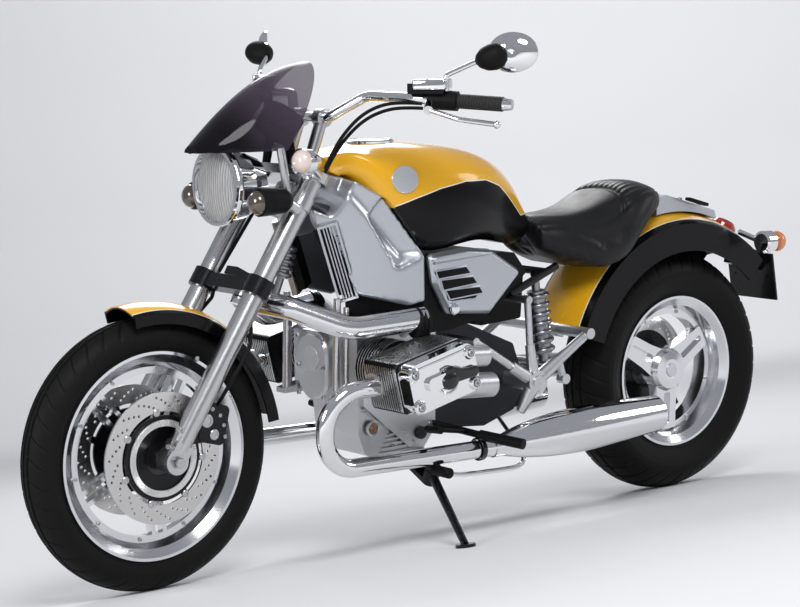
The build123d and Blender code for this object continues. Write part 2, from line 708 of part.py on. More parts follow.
# ---------------------------------------------------------------- bodywork
def tank_section(x, half_width, top, bottom, fullness=0.62):
    """Closed outline across the tank at one station."""
    height = top - bottom
    widest = bottom + height * fullness
    right = [
        (0, top), (half_width * 0.62, top - height * 0.07), (half_width * 0.95, widest + height * 0.1),
        (half_width, widest - height * 0.1), (half_width * 0.93, bottom + height * 0.1),
        (half_width * 0.8, bottom),
    ]
    left = [(-y, z) for y, z in reversed(right[1:])]
    plane = Plane(origin=(x, 0, 0), x_dir=(0, 1, 0), z_dir=(1, 0, 0))
    outline = [Spline(*left, *right), Line(right[-1], left[0])]
    return plane * make_face(outline)


def fuel_tank():
    stations = [
        (1152, 60, 974, 905), (1050, 150, 995, 830), (950, 184, 999, 742), (830, 188, 986, 748),
        (700, 152, 958, 742), (595, 96, 890, 726), (505, 44, 776, 716),
    ]
    body = loft([tank_section(*station) for station in stations])
    tunnel = slab(polygon([(1400, 400), (450, 400), (450, 760), (960, 790), (1180, 900), (1400, 1000)]), -60, 60)
    below = slab(polygon([(1300, 1100), *TANK_LINE, (954, 600), (1300, 600)]), -300, 300)
    return body - tunnel - below


def airbox():
    """Black housing between the side panels under the tank."""
    outline = polygon([(953, 733), (660, 712), (620, 660), (740, 566), (870, 540), (953, 540)])
    return slab(outline, -156, 156) - engine_block() - fuel_tank() - head_casting()


def battery_box():
    """Moulded box behind the airbox, over the gearbox."""
    outline = polygon([(756, 556), (650, 640), (652, 690), (574, 684), (556, 640), (566, 530), (700, 524)], 8)
    return slab(outline, -70, 70) - airbox() - gearbox() - fuel_tank() - frame_plates()


def side_panels():
    """Silver covers with a bevelled edge and three louvres."""
    outline = polygon([(946, 732), (832, 740), (752, 730), (650, 666), (756, 570), (890, 582), (934, 660)], 12)
    panel = slab(outline, 156 + FIT, 168) + Pos(0, 168, 0) * extrude(Plane.XZ * outline, -12, taper=38)
    for step in range(3):
        x = 934 - step * 17
        z = 692 - step * 30
        slot = polygon([(x, z), (x - 92, z), (x - 101, z - 16), (x - 10, z - 16)], 4)
        panel -= slab(slot, 150, 200)
    return both_sides(panel)


def seat():
    """Broad saddle pad with deep sides."""
    stations = [
        (505 - FIT, 84, 776, 700), (440, 122, 780, 670), (370, 144, 784, 646), (290, 154, 804, 644),
        (210, 152, 838, 690), (140, 132, 848, 745), (76, 84, 838, 770),
    ]
    pad = loft([tank_section(*station, 0.6) for station in stations])
    return pad - on_axle(Cylinder(432 + FIT, 230), 0, REAR_TYRE_RADIUS)


def rear_fender():
    """Deep guard over the rear wheel."""
    outer, inner, half = 432.0, 426.0, 108.0
    shoulder, side = 404.0, 330.0
    section = make_face([
        ThreePointArc((shoulder, -half), (outer, 0), (shoulder, half)),
        Line((shoulder, half), (side, half)),
        Line((side, half), (side, half - 5)),
        Line((side, half - 5), (shoulder - 3, half - 5)),
        ThreePointArc((shoulder - 3, half - 5), (inner, 0), (shoulder - 3, 5 - half)),
        Line((shoulder - 3, 5 - half), (side, 5 - half)),
        Line((side, 5 - half), (side, -half)),
        Line((side, -half), (shoulder, -half)),
    ])
    guard = revolve(Plane.XZ * section, Axis.Z, revolution_arc=116)
    return on_axle(Rot(0, 0, -136) * guard, 0, REAR_TYRE_RADIUS)


RACK_BOLT_CIRCLE = 70.0
RACK_BOLT_RADIUS = 3.25


def rack_plane():
    """Middle of the rack's top face."""
    return Plane(origin=(-62, 0, 779), z_dir=(-54, 0, 184))


def luggage_rack():
    """Casting on the fender behind the saddle, with four bolt holes in its top."""
    body = slab(polygon([(66, 800), (30, 806), (-154, 752), (-170, 700), (66, 700)]), -55, 55)
    body -= on_axle(Cylinder(432 + FIT, 230), 0, REAR_TYRE_RADIUS)
    for place in PolarLocations(RACK_BOLT_CIRCLE / 2, 4, 45):
        body -= rack_plane() * place * Cylinder(RACK_BOLT_RADIUS, 60)
    return body - seat()


def tail_light():
    """Round lamp on the fender."""
    surface = Plane(origin=(-238, 0, 687), z_dir=(-0.55, 0, 0.835))
    lamp = spun([(0, -20), (38, -20), (38, 12), (30, 24), (0, 28)])
    return surface * lamp - rear_fender()


def rear_indicators():
    stalk = rod((-215, 90, 690), (-222, 150, 672), 8)
    lamp = turned_along_x([(0, -60), (18, -50), (30, -20), (31, 10), (24, 14), (0, 16)], -222, 178, 668)
    return both_sides(lamp + stalk)


PLATE_HOLE_SPACING = 120.0
PLATE_HOLE_RADIUS = 3.0


def plate_plane():
    """Middle of the outer face of the plate holder."""
    return Plane(origin=(-366, 0, 552), z_dir=(-1, 0, 0.15))


def plate_holder():
    """Flap behind the wheel that carries the blank plate."""
    flap = Pos(0, 0, -3) * Box(132, 170, 6)
    holes = PolarLocations(PLATE_HOLE_SPACING / 2, 2, 90) * Cylinder(PLATE_HOLE_RADIUS, 40)
    arm = slab(polygon([(-300, 640), (-378, 610), (-378, 560), (-290, 590)]), -40, 40)
    return plate_plane() * (flap - holes) + arm - rear_fender()


def swing_arm():
    """Single-sided arm with the shaft drive, on the right."""
    face = DRIVE_FACE + PIN_FIT
    arm = rod((SWING_PIVOT[0], -112, SWING_PIVOT[1]), (0, -133, 330), 30, 34)
    arm += on_axle(Pos(0, 0, -(face + 160) / 2) * Cylinder(78, 160 - face), 0, REAR_TYRE_RADIUS)
    arm += rod((SWING_PIVOT[0], -78 - FIT, SWING_PIVOT[1]), (SWING_PIVOT[0], -150, SWING_PIVOT[1]), 36)
    return arm


def rear_caliper():
    """Two-piston caliper over the rear disc, carried by the final drive."""
    body = on_axle(Rot(0, 0, 118) * Pos(124, 0, -60) * Box(52, 84, 46), 0, REAR_TYRE_RADIUS)
    body += on_axle(Rot(0, 0, 118) * Pos(96, 0, -(DRIVE_FACE + 22)) * Box(60, 44, 30), 0, REAR_TYRE_RADIUS)
    room = on_axle(ring(142 + MOVING_GAP, 0.5, -62 - MOVING_GAP, -56 + MOVING_GAP), 0, REAR_TYRE_RADIUS)
    return body - room - swing_arm()


def frame_plates():
    """Three-armed struts around the swing arm pivot, with the cross tubes between them."""
    x, z = SWING_PIVOT
    y = 172.0
    boss = (x, y, z)
    piece = rod((x, y - 14, z), (x, y + 16, z), 30) + rod((x, y, z), (x, y + 20, z), 17)
    piece += rod(boss, (690, y, 432), 16, 14) + rod((690, y, 432), (806, y, 506), 10)
    piece += rod(boss, (626, y, 480), 16, 12) + rod((626, y, 480), (632, y, 590), 9)
    piece += rod(boss, (534, y, 427), 19, 16) + rod((534, y, 427), (430, y, 487), 14, 11)
    piece += rod((530, y, 430), (514, y, 380), 10, 9) + rod((514, y - 12, 380), (514, y + 12, 380), 13)
    piece += rod(boss, (660, y, 312), 22, 11)
    piece += rod((430, y + 14, 487), (430, -FIT, 487), 14)
    piece += rod((806, y + 8, 506), (806, 78 + FIT, 506), 10)
    piece += rod((632, y + 8, 592), (632, -FIT, 592), 10)
    piece += slab(polygon([(436, 498), (436, 474), (370, 444), (370, 474)]), -FIT, 60)
    left = piece + rod((x, 78 + FIT, z), boss, 24)
    right = mirror(piece, about=Plane.XZ) - rod((x, -100, z), (x, -150 - FIT, z), 60)
    return left + right - on_axle(Cylinder(432 + FIT, 230), 0, REAR_TYRE_RADIUS)


def rear_subframe():
    """Saddle rails that rise from the cross tube, with the carrier of the strut's top eye."""
    rails = both_sides(rod((640, 112, 600), (462, 92, 656), 10))
    rails += rod((500, -96, 644), (500, 96, 644), 10) + rod((500, SHOCK_SIDE, 644), (500, SHOCK_SIDE, 632), 12)
    return rails - frame_plates() - seat()


def spring_strut(low, high, core, coil, turns, wire):
    """A damper with the turns of its spring, drawn as rings, between two places."""
    low, high = Vector(low), Vector(high)
    length = (high - low).length
    pitch = length / turns
    edges = [Line((0, 0), (core, 0))]
    for turn in range(turns):
        start = pitch * (turn + 0.5) - wire
        edges.append(Line(edges[-1] @ 1, (core, start)))
        edges.append(ThreePointArc((core, start), (coil + wire, start + wire), (core, start + 2 * wire)))
    edges += [Line(edges[-1] @ 1, (core, length)), Line((core, length), (0, length)), Line((0, length), (0, 0))]
    return Plane(origin=low, z_dir=high - low) * revolve(Plane.XZ * make_face(edges), Axis.Z)


SHOCK_SIDE = 52.0  # spring strut from the centre plane


def rear_shock():
    """Single strut between the swing arm and the saddle rails."""
    low, high = (474, SHOCK_SIDE, 428), (497, SHOCK_SIDE, 592)
    strut = spring_strut(low, high, 23, 27, 7, 5.5)
    strut += rod(high, (500, SHOCK_SIDE, 632 - FIT), 11) + rod((472, SHOCK_SIDE, 408), low, 14)
    strut += rod((471, SHOCK_SIDE + 16, 404), (471, -110, 396), 9)
    return strut - swing_arm() - rear_subframe()


def footpegs():
    """Round pegs on arms from the gearbox, with the foot levers ahead of them."""
    piece = rod((846, 236, 288), (806, 350, 276), 13)
    piece += rod((872, CORE_HALF + FIT, 300), (846, 240, 288), 9)
    lever = rod((855, 190, 292), (990, 214, 318), 6) + rod((990, 208, 318), (990, 262, 322), 9)
    return both_sides(piece + lever) - engine_block() - exhaust_headers()


# ---------------------------------------------------------------- side stand
STAND_PIVOT = Vector(930, 150, 190)
STAND_LEG = 290.0  # from the pivot to the middle of the foot
STAND_FORWARD = 100.0  # how far the foot stands ahead of the pivot
STAND_PAD = 8.0  # thickness of the foot
STOWED = Vector(-0.998, 0.03, -0.05)  # direction of the stowed leg


def parked_place():
    """Lean about the ground line, with the lift that brings both round tyres back onto the ground."""
    rear_sink = REAR_CROWN_RADIUS * (1 - cos(radians(LEAN)))
    front_sink = FRONT_CROWN_RADIUS * (1 - cos(radians(LEAN)))
    pitch = degrees(atan2(rear_sink - front_sink, WHEELBASE))
    return Pos(0, 0, rear_sink) * Rot(0, pitch, 0) * Rot(-LEAN, 0, 0)


def stand_foot_place():
    """Where the foot rests flat on the ground, seen in the upright frame."""
    parked = parked_place()
    pivot = (parked * Pos(*STAND_PIVOT)).position
    drop = pivot.Z - STAND_PAD / 2
    outward = (STAND_LEG**2 - drop**2 - STAND_FORWARD**2) ** 0.5
    return parked.inverse() * Pos(pivot.X + STAND_FORWARD, pivot.Y + outward, STAND_PAD / 2)


def stand_axis():
    """Axis of the stand's pivot: a positive turn stows the leg."""
    deployed = stand_foot_place().position - STAND_PIVOT
    return deployed.cross(STOWED).normalized()


def stand_swing():
    """Angle from the stop to the stowed leg."""
    deployed = stand_foot_place().position - STAND_PIVOT
    return deployed.get_angle(STOWED)


def side_stand():
    """Round leg with an eye at its pivot and a flat foot."""
    foot = stand_foot_place()
    axis = stand_axis()
    leg = rod(STAND_PIVOT, foot.position, 12, 9)
    leg += rod(STAND_PIVOT - axis * 12, STAND_PIVOT + axis * 12, 20)
    leg += foot * Cylinder(24, STAND_PAD)
    return leg - rod(STAND_PIVOT - axis * 30, STAND_PIVOT + axis * 30, 8 + PIN_FIT)


def stand_bracket():
    """Clevis and pivot bolt of the side stand, hung below the crankcase."""
    axis = stand_axis()
    plane = Plane(origin=STAND_PIVOT, x_dir=(1, 0, 0), z_dir=axis)
    bracket = rod(STAND_PIVOT - axis * 24, STAND_PIVOT + axis * 24, 8)
    for low in (13, -25):
        bracket += plane * Pos(0, 0, low + 6) * Cylinder(18, 12)
        bracket += plane * Pos(0, -30, low + 6) * Box(36, 60, 12)
    bracket += Pos(930, 92, 222) * Box(60, 50, 40)
    return bracket - engine_block()


NODES = {
    "front_tyre": front_tyre,
    "front_wheel_casting": front_wheel_casting,
    "front_brake_discs": front_brake_discs,
    "rear_tyre": rear_tyre,
    "rear_wheel_casting": rear_wheel_casting,
    "rear_brake_disc": rear_brake_disc,
    "front_axle": front_axle,
    "fork_legs": fork_legs,
    "fork_bridge": fork_bridge,
    "upper_fork_yoke": upper_fork_yoke,
    "front_fender": front_fender,
    "brake_calipers": brake_calipers,
    "headlight_shell": headlight_shell,
    "headlight_lens": headlight_lens,
    "headlight_bracket": headlight_bracket,
    "auxiliary_lamps": auxiliary_lamps,
    "windscreen": windscreen,
    "instrument_pod": instrument_pod,
    "front_indicators": front_indicators,
    "handlebar": handlebar,
    "grips": grips,
    "control_housings": control_housings,
    "levers": levers,
    "mirrors": mirrors,
    "brake_hoses": brake_hoses,
    "head_casting": head_casting,
    "cooler_grilles": cooler_grilles,
    "oil_coolers": oil_coolers,
    "a_arm": a_arm,
    "front_strut": front_strut,
    "engine_block": engine_block,
    "engine_front_cover": engine_front_cover,
    "down_tubes": down_tubes,
    "gearbox": gearbox,
    "cylinders": cylinders,
    "cylinder_heads": cylinder_heads,
    "valve_covers": valve_covers,
    "throttle_bodies": throttle_bodies,
    "exhaust_headers": exhaust_headers,
    "mufflers": mufflers,
    "fuel_tank": fuel_tank,
    "airbox": airbox,
    "battery_box": battery_box,
    "side_panels": side_panels,
    "seat": seat,
    "rear_fender": rear_fender,
    "luggage_rack": luggage_rack,
    "tail_light": tail_light,
    "rear_indicators": rear_indicators,
    "plate_holder": plate_holder,
    "swing_arm": swing_arm,
    "frame_plates": frame_plates,
    "rear_subframe": rear_subframe,
    "rear_shock": rear_shock,
    "rear_caliper": rear_caliper,
    "footpegs": footpegs,
    "side_stand": side_stand,
    "stand_bracket": stand_bracket,
}


def origin_shift(pieces):
    """Moves the origin to the ground below the middle of the whole machine."""
    boxes = [piece.bounding_box() for piece in pieces]
    x = (min(box.min.X for box in boxes) + max(box.max.X for box in boxes)) / 2
    y = (min(box.min.Y for box in boxes) + max(box.max.Y for box in boxes)) / 2
    return Pos(-x, -y, 0)


def main():
    os.makedirs("parts", exist_ok=True)
    parked = parked_place()
    pieces = {name: parked * build() for name, build in NODES.items()}
    shift = origin_shift(pieces.values())
    for name, piece in pieces.items():
        export_step(shift * piece, f"parts/{name}.step")


main()
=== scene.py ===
import json
from math import cos, exp, pi, radians, sin

import bmesh
import bpy
from mathutils import Matrix, Vector


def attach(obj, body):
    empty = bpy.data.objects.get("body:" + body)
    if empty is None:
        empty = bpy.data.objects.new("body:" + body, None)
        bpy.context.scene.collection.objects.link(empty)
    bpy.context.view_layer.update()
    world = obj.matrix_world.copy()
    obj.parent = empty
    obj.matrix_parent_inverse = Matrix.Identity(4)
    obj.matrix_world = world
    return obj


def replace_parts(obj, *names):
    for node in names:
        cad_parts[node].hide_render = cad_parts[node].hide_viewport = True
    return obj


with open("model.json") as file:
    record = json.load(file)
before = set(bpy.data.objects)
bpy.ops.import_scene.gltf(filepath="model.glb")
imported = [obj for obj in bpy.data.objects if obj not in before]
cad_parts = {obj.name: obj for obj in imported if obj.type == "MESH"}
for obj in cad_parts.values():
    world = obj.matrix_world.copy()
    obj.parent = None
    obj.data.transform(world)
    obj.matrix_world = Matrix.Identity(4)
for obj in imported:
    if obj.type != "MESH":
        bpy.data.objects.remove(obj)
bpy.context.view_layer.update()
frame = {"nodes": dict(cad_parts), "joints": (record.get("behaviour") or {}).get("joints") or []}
joints = {joint["name"]: joint for joint in frame["joints"]}


# ---- The studio
# A pale bowl: a flat floor that curves up into a low wall all round, so that no corner shows
# behind the machine. It is seamless painted board, lit by large soft lamps overhead.
def point_at(thing, target):
    """Turns a lamp to face a place."""
    thing.rotation_euler = (Vector(target) - thing.location).to_track_quat("-Z", "Y").to_euler()


class Wire:
    """A node's output that can stand in sums: each sum adds its Math node."""

    def __init__(self, tree, socket):
        self.tree = tree
        self.socket = socket

    def node(self, kind, inputs, output=0, **settings):
        """Adds any node to this tree, sets it up, feeds its sockets and gives one of its outputs."""
        made = self.tree.nodes.new(kind)
        for name, value in settings.items():
            if name == "stops":
                ramp = made.color_ramp
                ramp.elements[0].position, ramp.elements[0].color = value[0]
                ramp.elements[1].position, ramp.elements[1].color = value[-1]
                for position, colour in value[1:-1]:
                    ramp.elements.new(position).color = colour
            else:
                setattr(made, name, value)
        for key, value in inputs.items():
            if isinstance(value, Wire):
                self.tree.links.new(value.socket, made.inputs[key])
            else:
                made.inputs[key].default_value = value
        return Wire(self.tree, made.outputs[output])

    def maths(self, operation, first, second):
        return self.node("ShaderNodeMath", {0: first, 1: second}, operation=operation)

    def __add__(self, other):
        return self.maths("ADD", self, other)

    def __radd__(self, other):
        return self.maths("ADD", other, self)

    def __sub__(self, other):
        return self.maths("SUBTRACT", self, other)

    def __rsub__(self, other):
        return self.maths("SUBTRACT", other, self)

    def __mul__(self, other):
        return self.maths("MULTIPLY", self, other)

    def __rmul__(self, other):
        return self.maths("MULTIPLY", other, self)

    def __truediv__(self, other):
        return self.maths("DIVIDE", self, other)

    def __rtruediv__(self, other):
        return self.maths("DIVIDE", other, self)

    def above(self, edge, blur):
        """0 below an edge and 1 above it, with a soft step between."""
        limits = {"Value": self, "From Min": edge - blur, "From Max": edge + blur}
        return self.node("ShaderNodeMapRange", limits, interpolation_type="SMOOTHSTEP")

    def most(self, other):
        return self.maths("MAXIMUM", self, other)

    def size(self):
        return self.maths("ABSOLUTE", self, 0.0)

    def mix(self, low, high):
        """A colour between two, by this value."""
        return self.node("ShaderNodeMix", {0: self, 6: low, 7: high}, 2, data_type="RGBA")


class Finish:
    """A material in the making: place reads the piece's own coordinates, give feeds the shader."""

    def __init__(self, name, **uniform):
        self.material = bpy.data.materials.new(name)
        self.material.use_nodes = True
        tree = self.material.node_tree
        self.shader = tree.nodes["Principled BSDF"]
        self.place = Wire(tree, tree.nodes.new("ShaderNodeTexCoord").outputs["Object"])
        self.give(**uniform)

    def give(self, **sockets):
        for key, value in sockets.items():
            socket = self.shader.inputs[key.replace("_", " ")]
            if isinstance(value, Wire):
                self.material.node_tree.links.new(value.socket, socket)
            else:
                socket.default_value = value
        return self

    def noise(self, scale, detail=4.0, place=None):
        inputs = {"Vector": place or self.place, "Scale": scale, "Detail": detail}
        return self.place.node("ShaderNodeTexNoise", inputs)

    def bump(self, height, distance, strength=1.0):
        inputs = {"Height": height, "Distance": distance, "Strength": strength}
        self.give(Normal=self.place.node("ShaderNodeBump", inputs))
        return self


BOARD = (0.80, 0.80, 0.81, 1)
board = Finish("pale_board", Specular_IOR_Level=0.2)
board.give(Roughness=0.75 + 0.1 * board.noise(3.0), Base_Color=board.noise(0.4).mix(BOARD, (0.83, 0.83, 0.84, 1)))

floor_shape = bmesh.new()
path = [(0.01, 0), (3, 0), (11.4, 0), (13, 0.16), (14.4, 0.75), (15.3, 1.8), (15.7, 3.2), (15.7, 5.4)]
verts = [floor_shape.verts.new((out, 0, up)) for out, up in path]
edges = [floor_shape.edges.new(pair) for pair in zip(verts, verts[1:])]
bmesh.ops.spin(
    floor_shape, geom=verts + edges, cent=(0, 0, 0), axis=(0, 0, 1), angle=2 * pi, steps=96, use_merge=True
)
bmesh.ops.holes_fill(floor_shape, edges=[e for e in floor_shape.edges if e.is_boundary and e.verts[0].co.z < 0.1])
bmesh.ops.recalc_face_normals(floor_shape, faces=floor_shape.faces)
mesh = bpy.data.meshes.new("studio_floor")
floor_shape.to_mesh(mesh)
mesh.shade_smooth()
floor = bpy.data.objects.new("studio_floor", mesh)
floor.data.materials.append(board.material)
bpy.context.scene.collection.objects.link(floor)

world = bpy.data.worlds.new("studio_air")
bpy.context.scene.world = world
world.use_nodes = True
world.node_tree.nodes["Background"].inputs["Color"].default_value = (0.66, 0.68, 0.74, 1)
world.node_tree.nodes["Background"].inputs["Strength"].default_value = 0.46

LAMPS = [
    ("key_lamp", (2.2, 4.4, 4.4), (0.1, 0, 0.5), 2.6, 210),
    ("fill_lamp", (6.5, 0.6, 2.6), (0.3, 0, 0.5), 2.4, 150),
    ("back_lamp", (-2.4, -3.6, 4.0), (0, 0, 0.6), 2.6, 110),
    ("tail_lamp", (-5.2, 3.4, 2.6), (-0.4, 0, 0.5), 2.2, 60),
    ("wall_lamp", (-6.6, -7.0, 7.0), (-11.2, -11.8, 0.3), 4.5, 330),
]
for name, place, target, size, power in LAMPS:
    light = bpy.data.lights.new(name, "AREA")
    light.shape = "DISK"
    light.size = size
    light.energy = power
    lamp = bpy.data.objects.new(name, light)
    lamp.location = place
    point_at(lamp, target)
    bpy.context.scene.collection.objects.link(lamp)

camera_data = bpy.data.cameras.new("camera")
camera_data.lens = 104.1
camera_data.sensor_width = 36.0
camera = bpy.data.objects.new("camera", camera_data)
rear_hub = Vector(joints["rear_wheel_spin"]["pos_m"])
camera_turn = Matrix((
    (-0.78352533, -0.09704696, 0.61373443),
    (0.60863969, 0.0789655, 0.78950756),
    (-0.12508315, 0.9921423, -0.00280483),
)).to_4x4()
camera.matrix_world = Matrix.Translation(rear_hub + Vector((4.4156, 4.5680, 0.2462))) @ camera_turn
bpy.context.scene.collection.objects.link(camera)
bpy.context.scene.camera = camera
bpy.context.scene.view_settings.view_transform = "Standard"


# ---- Crankcase, front cover and gearbox
# The crankcase is one aluminium sand casting, bead-blasted to a soft silver, with the belt
# cover screwed to its front. The gearbox behind it is a darker casting bolted on.
ACROSS = Vector(joints["rear_wheel_spin"]["axis"]).normalized()
ALONG = Vector((1, 0, 0))
ALONG = (ALONG - ACROSS * ALONG.dot(ACROSS)).normalized()
UPWARD = ALONG.cross(ACROSS)
REAR_RADIUS = 326.5
TURNED = Matrix((ALONG, ACROSS, UPWARD)).transposed()
GROUND = rear_hub - TURNED @ Vector((0, 0, REAR_RADIUS / 1000))
PARKED = Matrix.Translation(GROUND) @ TURNED.to_4x4() @ Matrix.Scale(0.001, 4)
OTHER_SIDE = Matrix.Scale(-1, 4, (0, 1, 0))


def upright(finish):
    """The machine's own forward, left and up coordinates in millimetres, for a pattern."""
    back = PARKED.inverted()
    inputs = {"Vector": finish.place, "Location": back.translation, "Rotation": back.to_euler(), "Scale": (1000,) * 3}
    turned = finish.place.node("ShaderNodeMapping", inputs, vector_type="POINT")
    return [turned.node("ShaderNodeSeparateXYZ", {0: turned}, axis) for axis in range(3)]


def dress(finish, *nodes):
    """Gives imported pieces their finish."""
    for name in nodes:
        mesh = frame["nodes"][name].data
        mesh.materials.clear()
        mesh.materials.append(finish.material)


def stand(place, towards=(0, 0, 1), roll=0.0):
    """A place whose own Z points along a direction."""
    turn = Vector(towards).to_track_quat("Z", "Y").to_matrix().to_4x4()
    return Matrix.Translation(place) @ turn @ Matrix.Rotation(radians(roll), 4, "Z")


def both(*places):
    """The same places on the left and on the right."""
    return list(places) + [OTHER_SIDE @ place for place in places]


def lathe(profile, steps=32, closed=False):
    """Turned work: points of radius and height, spun about Z."""
    shape = bmesh.new()
    points = [shape.verts.new((radius, 0, height)) for radius, height in profile]
    edges = [shape.edges.new(pair) for pair in zip(points, points[1:] + points[:1] if closed else points[1:])]
    bmesh.ops.spin(
        shape, geom=points + edges, cent=(0, 0, 0), axis=(0, 0, 1), angle=2 * pi, steps=steps, use_merge=True
    )
    bmesh.ops.remove_doubles(shape, verts=shape.verts, dist=0.0005)
    return shape


def fit(name, shape, finish, body, places=(Matrix(),), sharp=35):
    """Sets a worked shape in its places on the machine, closes its seams and makes it one piece."""
    pattern = bpy.data.meshes.new("pattern")
    shape.to_mesh(pattern)
    shape.free()
    whole = bmesh.new()
    for place in places:
        copy = pattern.copy()
        copy.transform(PARKED @ place)
        whole.from_mesh(copy)
        bpy.data.meshes.remove(copy)
    bpy.data.meshes.remove(pattern)
    bmesh.ops.remove_doubles(whole, verts=whole.verts, dist=1e-6)
    bmesh.ops.recalc_face_normals(whole, faces=whole.faces)
    mesh = bpy.data.meshes.new(name)
    whole.to_mesh(mesh)
    whole.free()
    mesh.shade_smooth()
    mesh.set_sharp_from_angle(angle=radians(sharp))
    mesh.materials.append(finish.material)
    piece = bpy.data.objects.new(name, mesh)
    bpy.context.scene.collection.objects.link(piece)
    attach(piece, body)
    return piece


def cast_metal(name, colour, roughness, grain):
    """Blasted or satin alloy: fine grain, faint clouding and slightly uneven gloss."""
    metal = Finish(name, Metallic=1.0)
    cloud = metal.noise(9.0)
    darker = tuple(0.9 * part for part in colour[:3]) + (1,)
    metal.give(Base_Color=cloud.mix(darker, colour), Roughness=roughness - 0.03 + 0.06 * metal.noise(12.0))
    return metal.bump(metal.noise(grain, 6.0), 0.0002, 0.3)


def socket_screw(radius, height):
    """A cap screw: turned head with a six-sided socket."""
    shape = lathe([(0, 0), (radius, 0), (radius, height * 0.8), (radius * 0.88, height), (radius * 0.5, height)], 12)
    rim = [edge for edge in shape.edges if edge.is_boundary]
    sunk = bmesh.ops.extrude_edge_only(shape, edges=rim)["geom"]
    verts = [v for v in sunk if isinstance(v, bmesh.types.BMVert)]
    bmesh.ops.translate(shape, vec=(0, 0, -height * 0.6), verts=verts)
    bmesh.ops.contextual_create(shape, geom=verts)
    return shape


blasted = cast_metal("blasted_alloy", (0.66, 0.67, 0.69, 1), 0.36, 900.0)
rough_cast = cast_metal("gearbox_casting", (0.05, 0.05, 0.055, 1), 0.5, 420.0)
dress(blasted, "engine_block", "engine_front_cover")
dress(rough_cast, "gearbox")

steel = cast_metal("plated_steel", (0.56, 0.56, 0.57, 1), 0.28, 1500.0)
enamel = Finish("black_enamel", Base_Color=(0.004, 0.004, 0.005, 1), Specular_IOR_Level=0.35)
enamel.give(Roughness=0.2 + 0.1 * enamel.noise(30.0), Coat_Weight=0.5, Coat_Roughness=0.04)
plain_silver = Finish("plain_disc", Metallic=0.5, Coat_Weight=1.0, Coat_Roughness=0.03)
clouded = plain_silver.noise(300.0).mix((0.55, 0.57, 0.60, 1), (0.66, 0.68, 0.70, 1))
plain_silver.give(Base_Color=clouded, Roughness=0.25)


def plain_disc(name, radius, places, body):
    """A bare, slightly domed disc in one tone."""
    section = [(0, 0), (radius, 0), (radius, 2.2), (radius - 1.2, 3.2), (radius * 0.5, 3.9), (0, 4.2)]
    fit(name, lathe(section, 64), plain_silver, body, places)


plain_disc("front_cover_disc", 30.0, [stand((1176, 0, 487), (1, 0, 0))], "chassis")
cover_screws = [stand((1176, y, z), (1, 0, 0)) for y in (-50, 50) for z in (398, 468, 538)]
fit("cover_screws", socket_screw(5.5, 6), steel, "chassis", cover_screws)
case_screws = both(*[stand((x, 88, z), (0, 1, 0)) for x, z in ((1088, 360), (1000, 262), (940, 262), (884, 300))])
fit("crankcase_screws", socket_screw(6.5, 7), steel, "chassis", case_screws)
oil = Finish("oil_glass", Coat_Weight=1.0, Coat_Roughness=0.02)
oil.give(Base_Color=oil.noise(60.0).mix((0.10, 0.045, 0.012, 1), (0.30, 0.15, 0.05, 1)), Roughness=0.15)
GLASS_EYE = stand((1068, 95, 314), (0.05, 1, 0))
glass_ring = lathe([(13, 0), (19, 0), (19, 5), (16.5, 7), (13.5, 6), (13, 0)], 40)
fit("sight_glass_ring", glass_ring, steel, "chassis", [GLASS_EYE])
eye = lathe([(0, 0), (13.2, 0), (13.2, 3.5), (9, 5.2), (0, 6)], 40)
fit("sight_glass", eye, oil, "chassis", [GLASS_EYE])
filler = lathe([(0, 0), (16, 0), (16, 8), (13, 10), (0, 10)], 24)
fit("oil_filler", filler, rough_cast, "chassis", [stand((914.5, 88, 283), (0, 1, 0))])


# ---- Cylinders and heads
# Finned barrels and heads in cast alloy, painted black between fins whose edges are milled
# bright. The chromed valve covers are held by two socket screws at each end.
CYLINDER_OFFSET = 19.0
CYLINDER_HEIGHT = 471.5
CYLINDER_MIDDLE = 1057.0
FIN_REACH = 71.0
HEAD_TILT = radians(13)


def head_places(y, spots):
    """Places on the tilted face of each head, from spots along and up it, facing outward."""
    found = []
    for side in (1, -1):
        middle = Vector((CYLINDER_MIDDLE + side * CYLINDER_OFFSET, side * y, CYLINDER_HEIGHT))
        for ahead, up in spots:
            x = ahead * cos(HEAD_TILT) + up * sin(HEAD_TILT)
            z = up * cos(HEAD_TILT) - ahead * sin(HEAD_TILT)
            turn = Matrix.Rotation(HEAD_TILT, 4, "Y") @ Matrix.Rotation(radians(-90 * side), 4, "X")
            found.append(Matrix.Translation(middle + Vector((x, 0, z))) @ turn)
    return found


fins = Finish("fin_metal", Metallic=1.0)
fin_x, fin_y, fin_z = upright(fins)
centre = CYLINDER_MIDDLE + CYLINDER_OFFSET * 2 * (fin_y.above(0.0, 1.0) - 0.5)
ahead = fin_x - centre
rise = fin_z - CYLINDER_HEIGHT
out = ahead.maths("POWER", ahead * ahead + rise * rise, 0.5)
along = (ahead * cos(HEAD_TILT) - rise * sin(HEAD_TILT)).size()
above = (ahead * sin(HEAD_TILT) + rise * cos(HEAD_TILT)).size()
on_head = fin_y.size().above(220.5, 0.2)
head_edge = along.above(102.0, 0.4).most(above.above(61.2, 0.4))
edge = on_head.node("ShaderNodeMix", {0: on_head, 2: out.above(FIN_REACH - 1.2, 0.4), 3: head_edge})
fin_grime = fins.noise(60.0)
fin_dark = fin_grime.mix((0.016, 0.016, 0.017, 1), (0.045, 0.045, 0.046, 1))
fins.give(Base_Color=edge.mix(fin_dark, (0.72, 0.72, 0.72, 1)), Roughness=0.42 - 0.2 * edge + 0.12 * fin_grime)


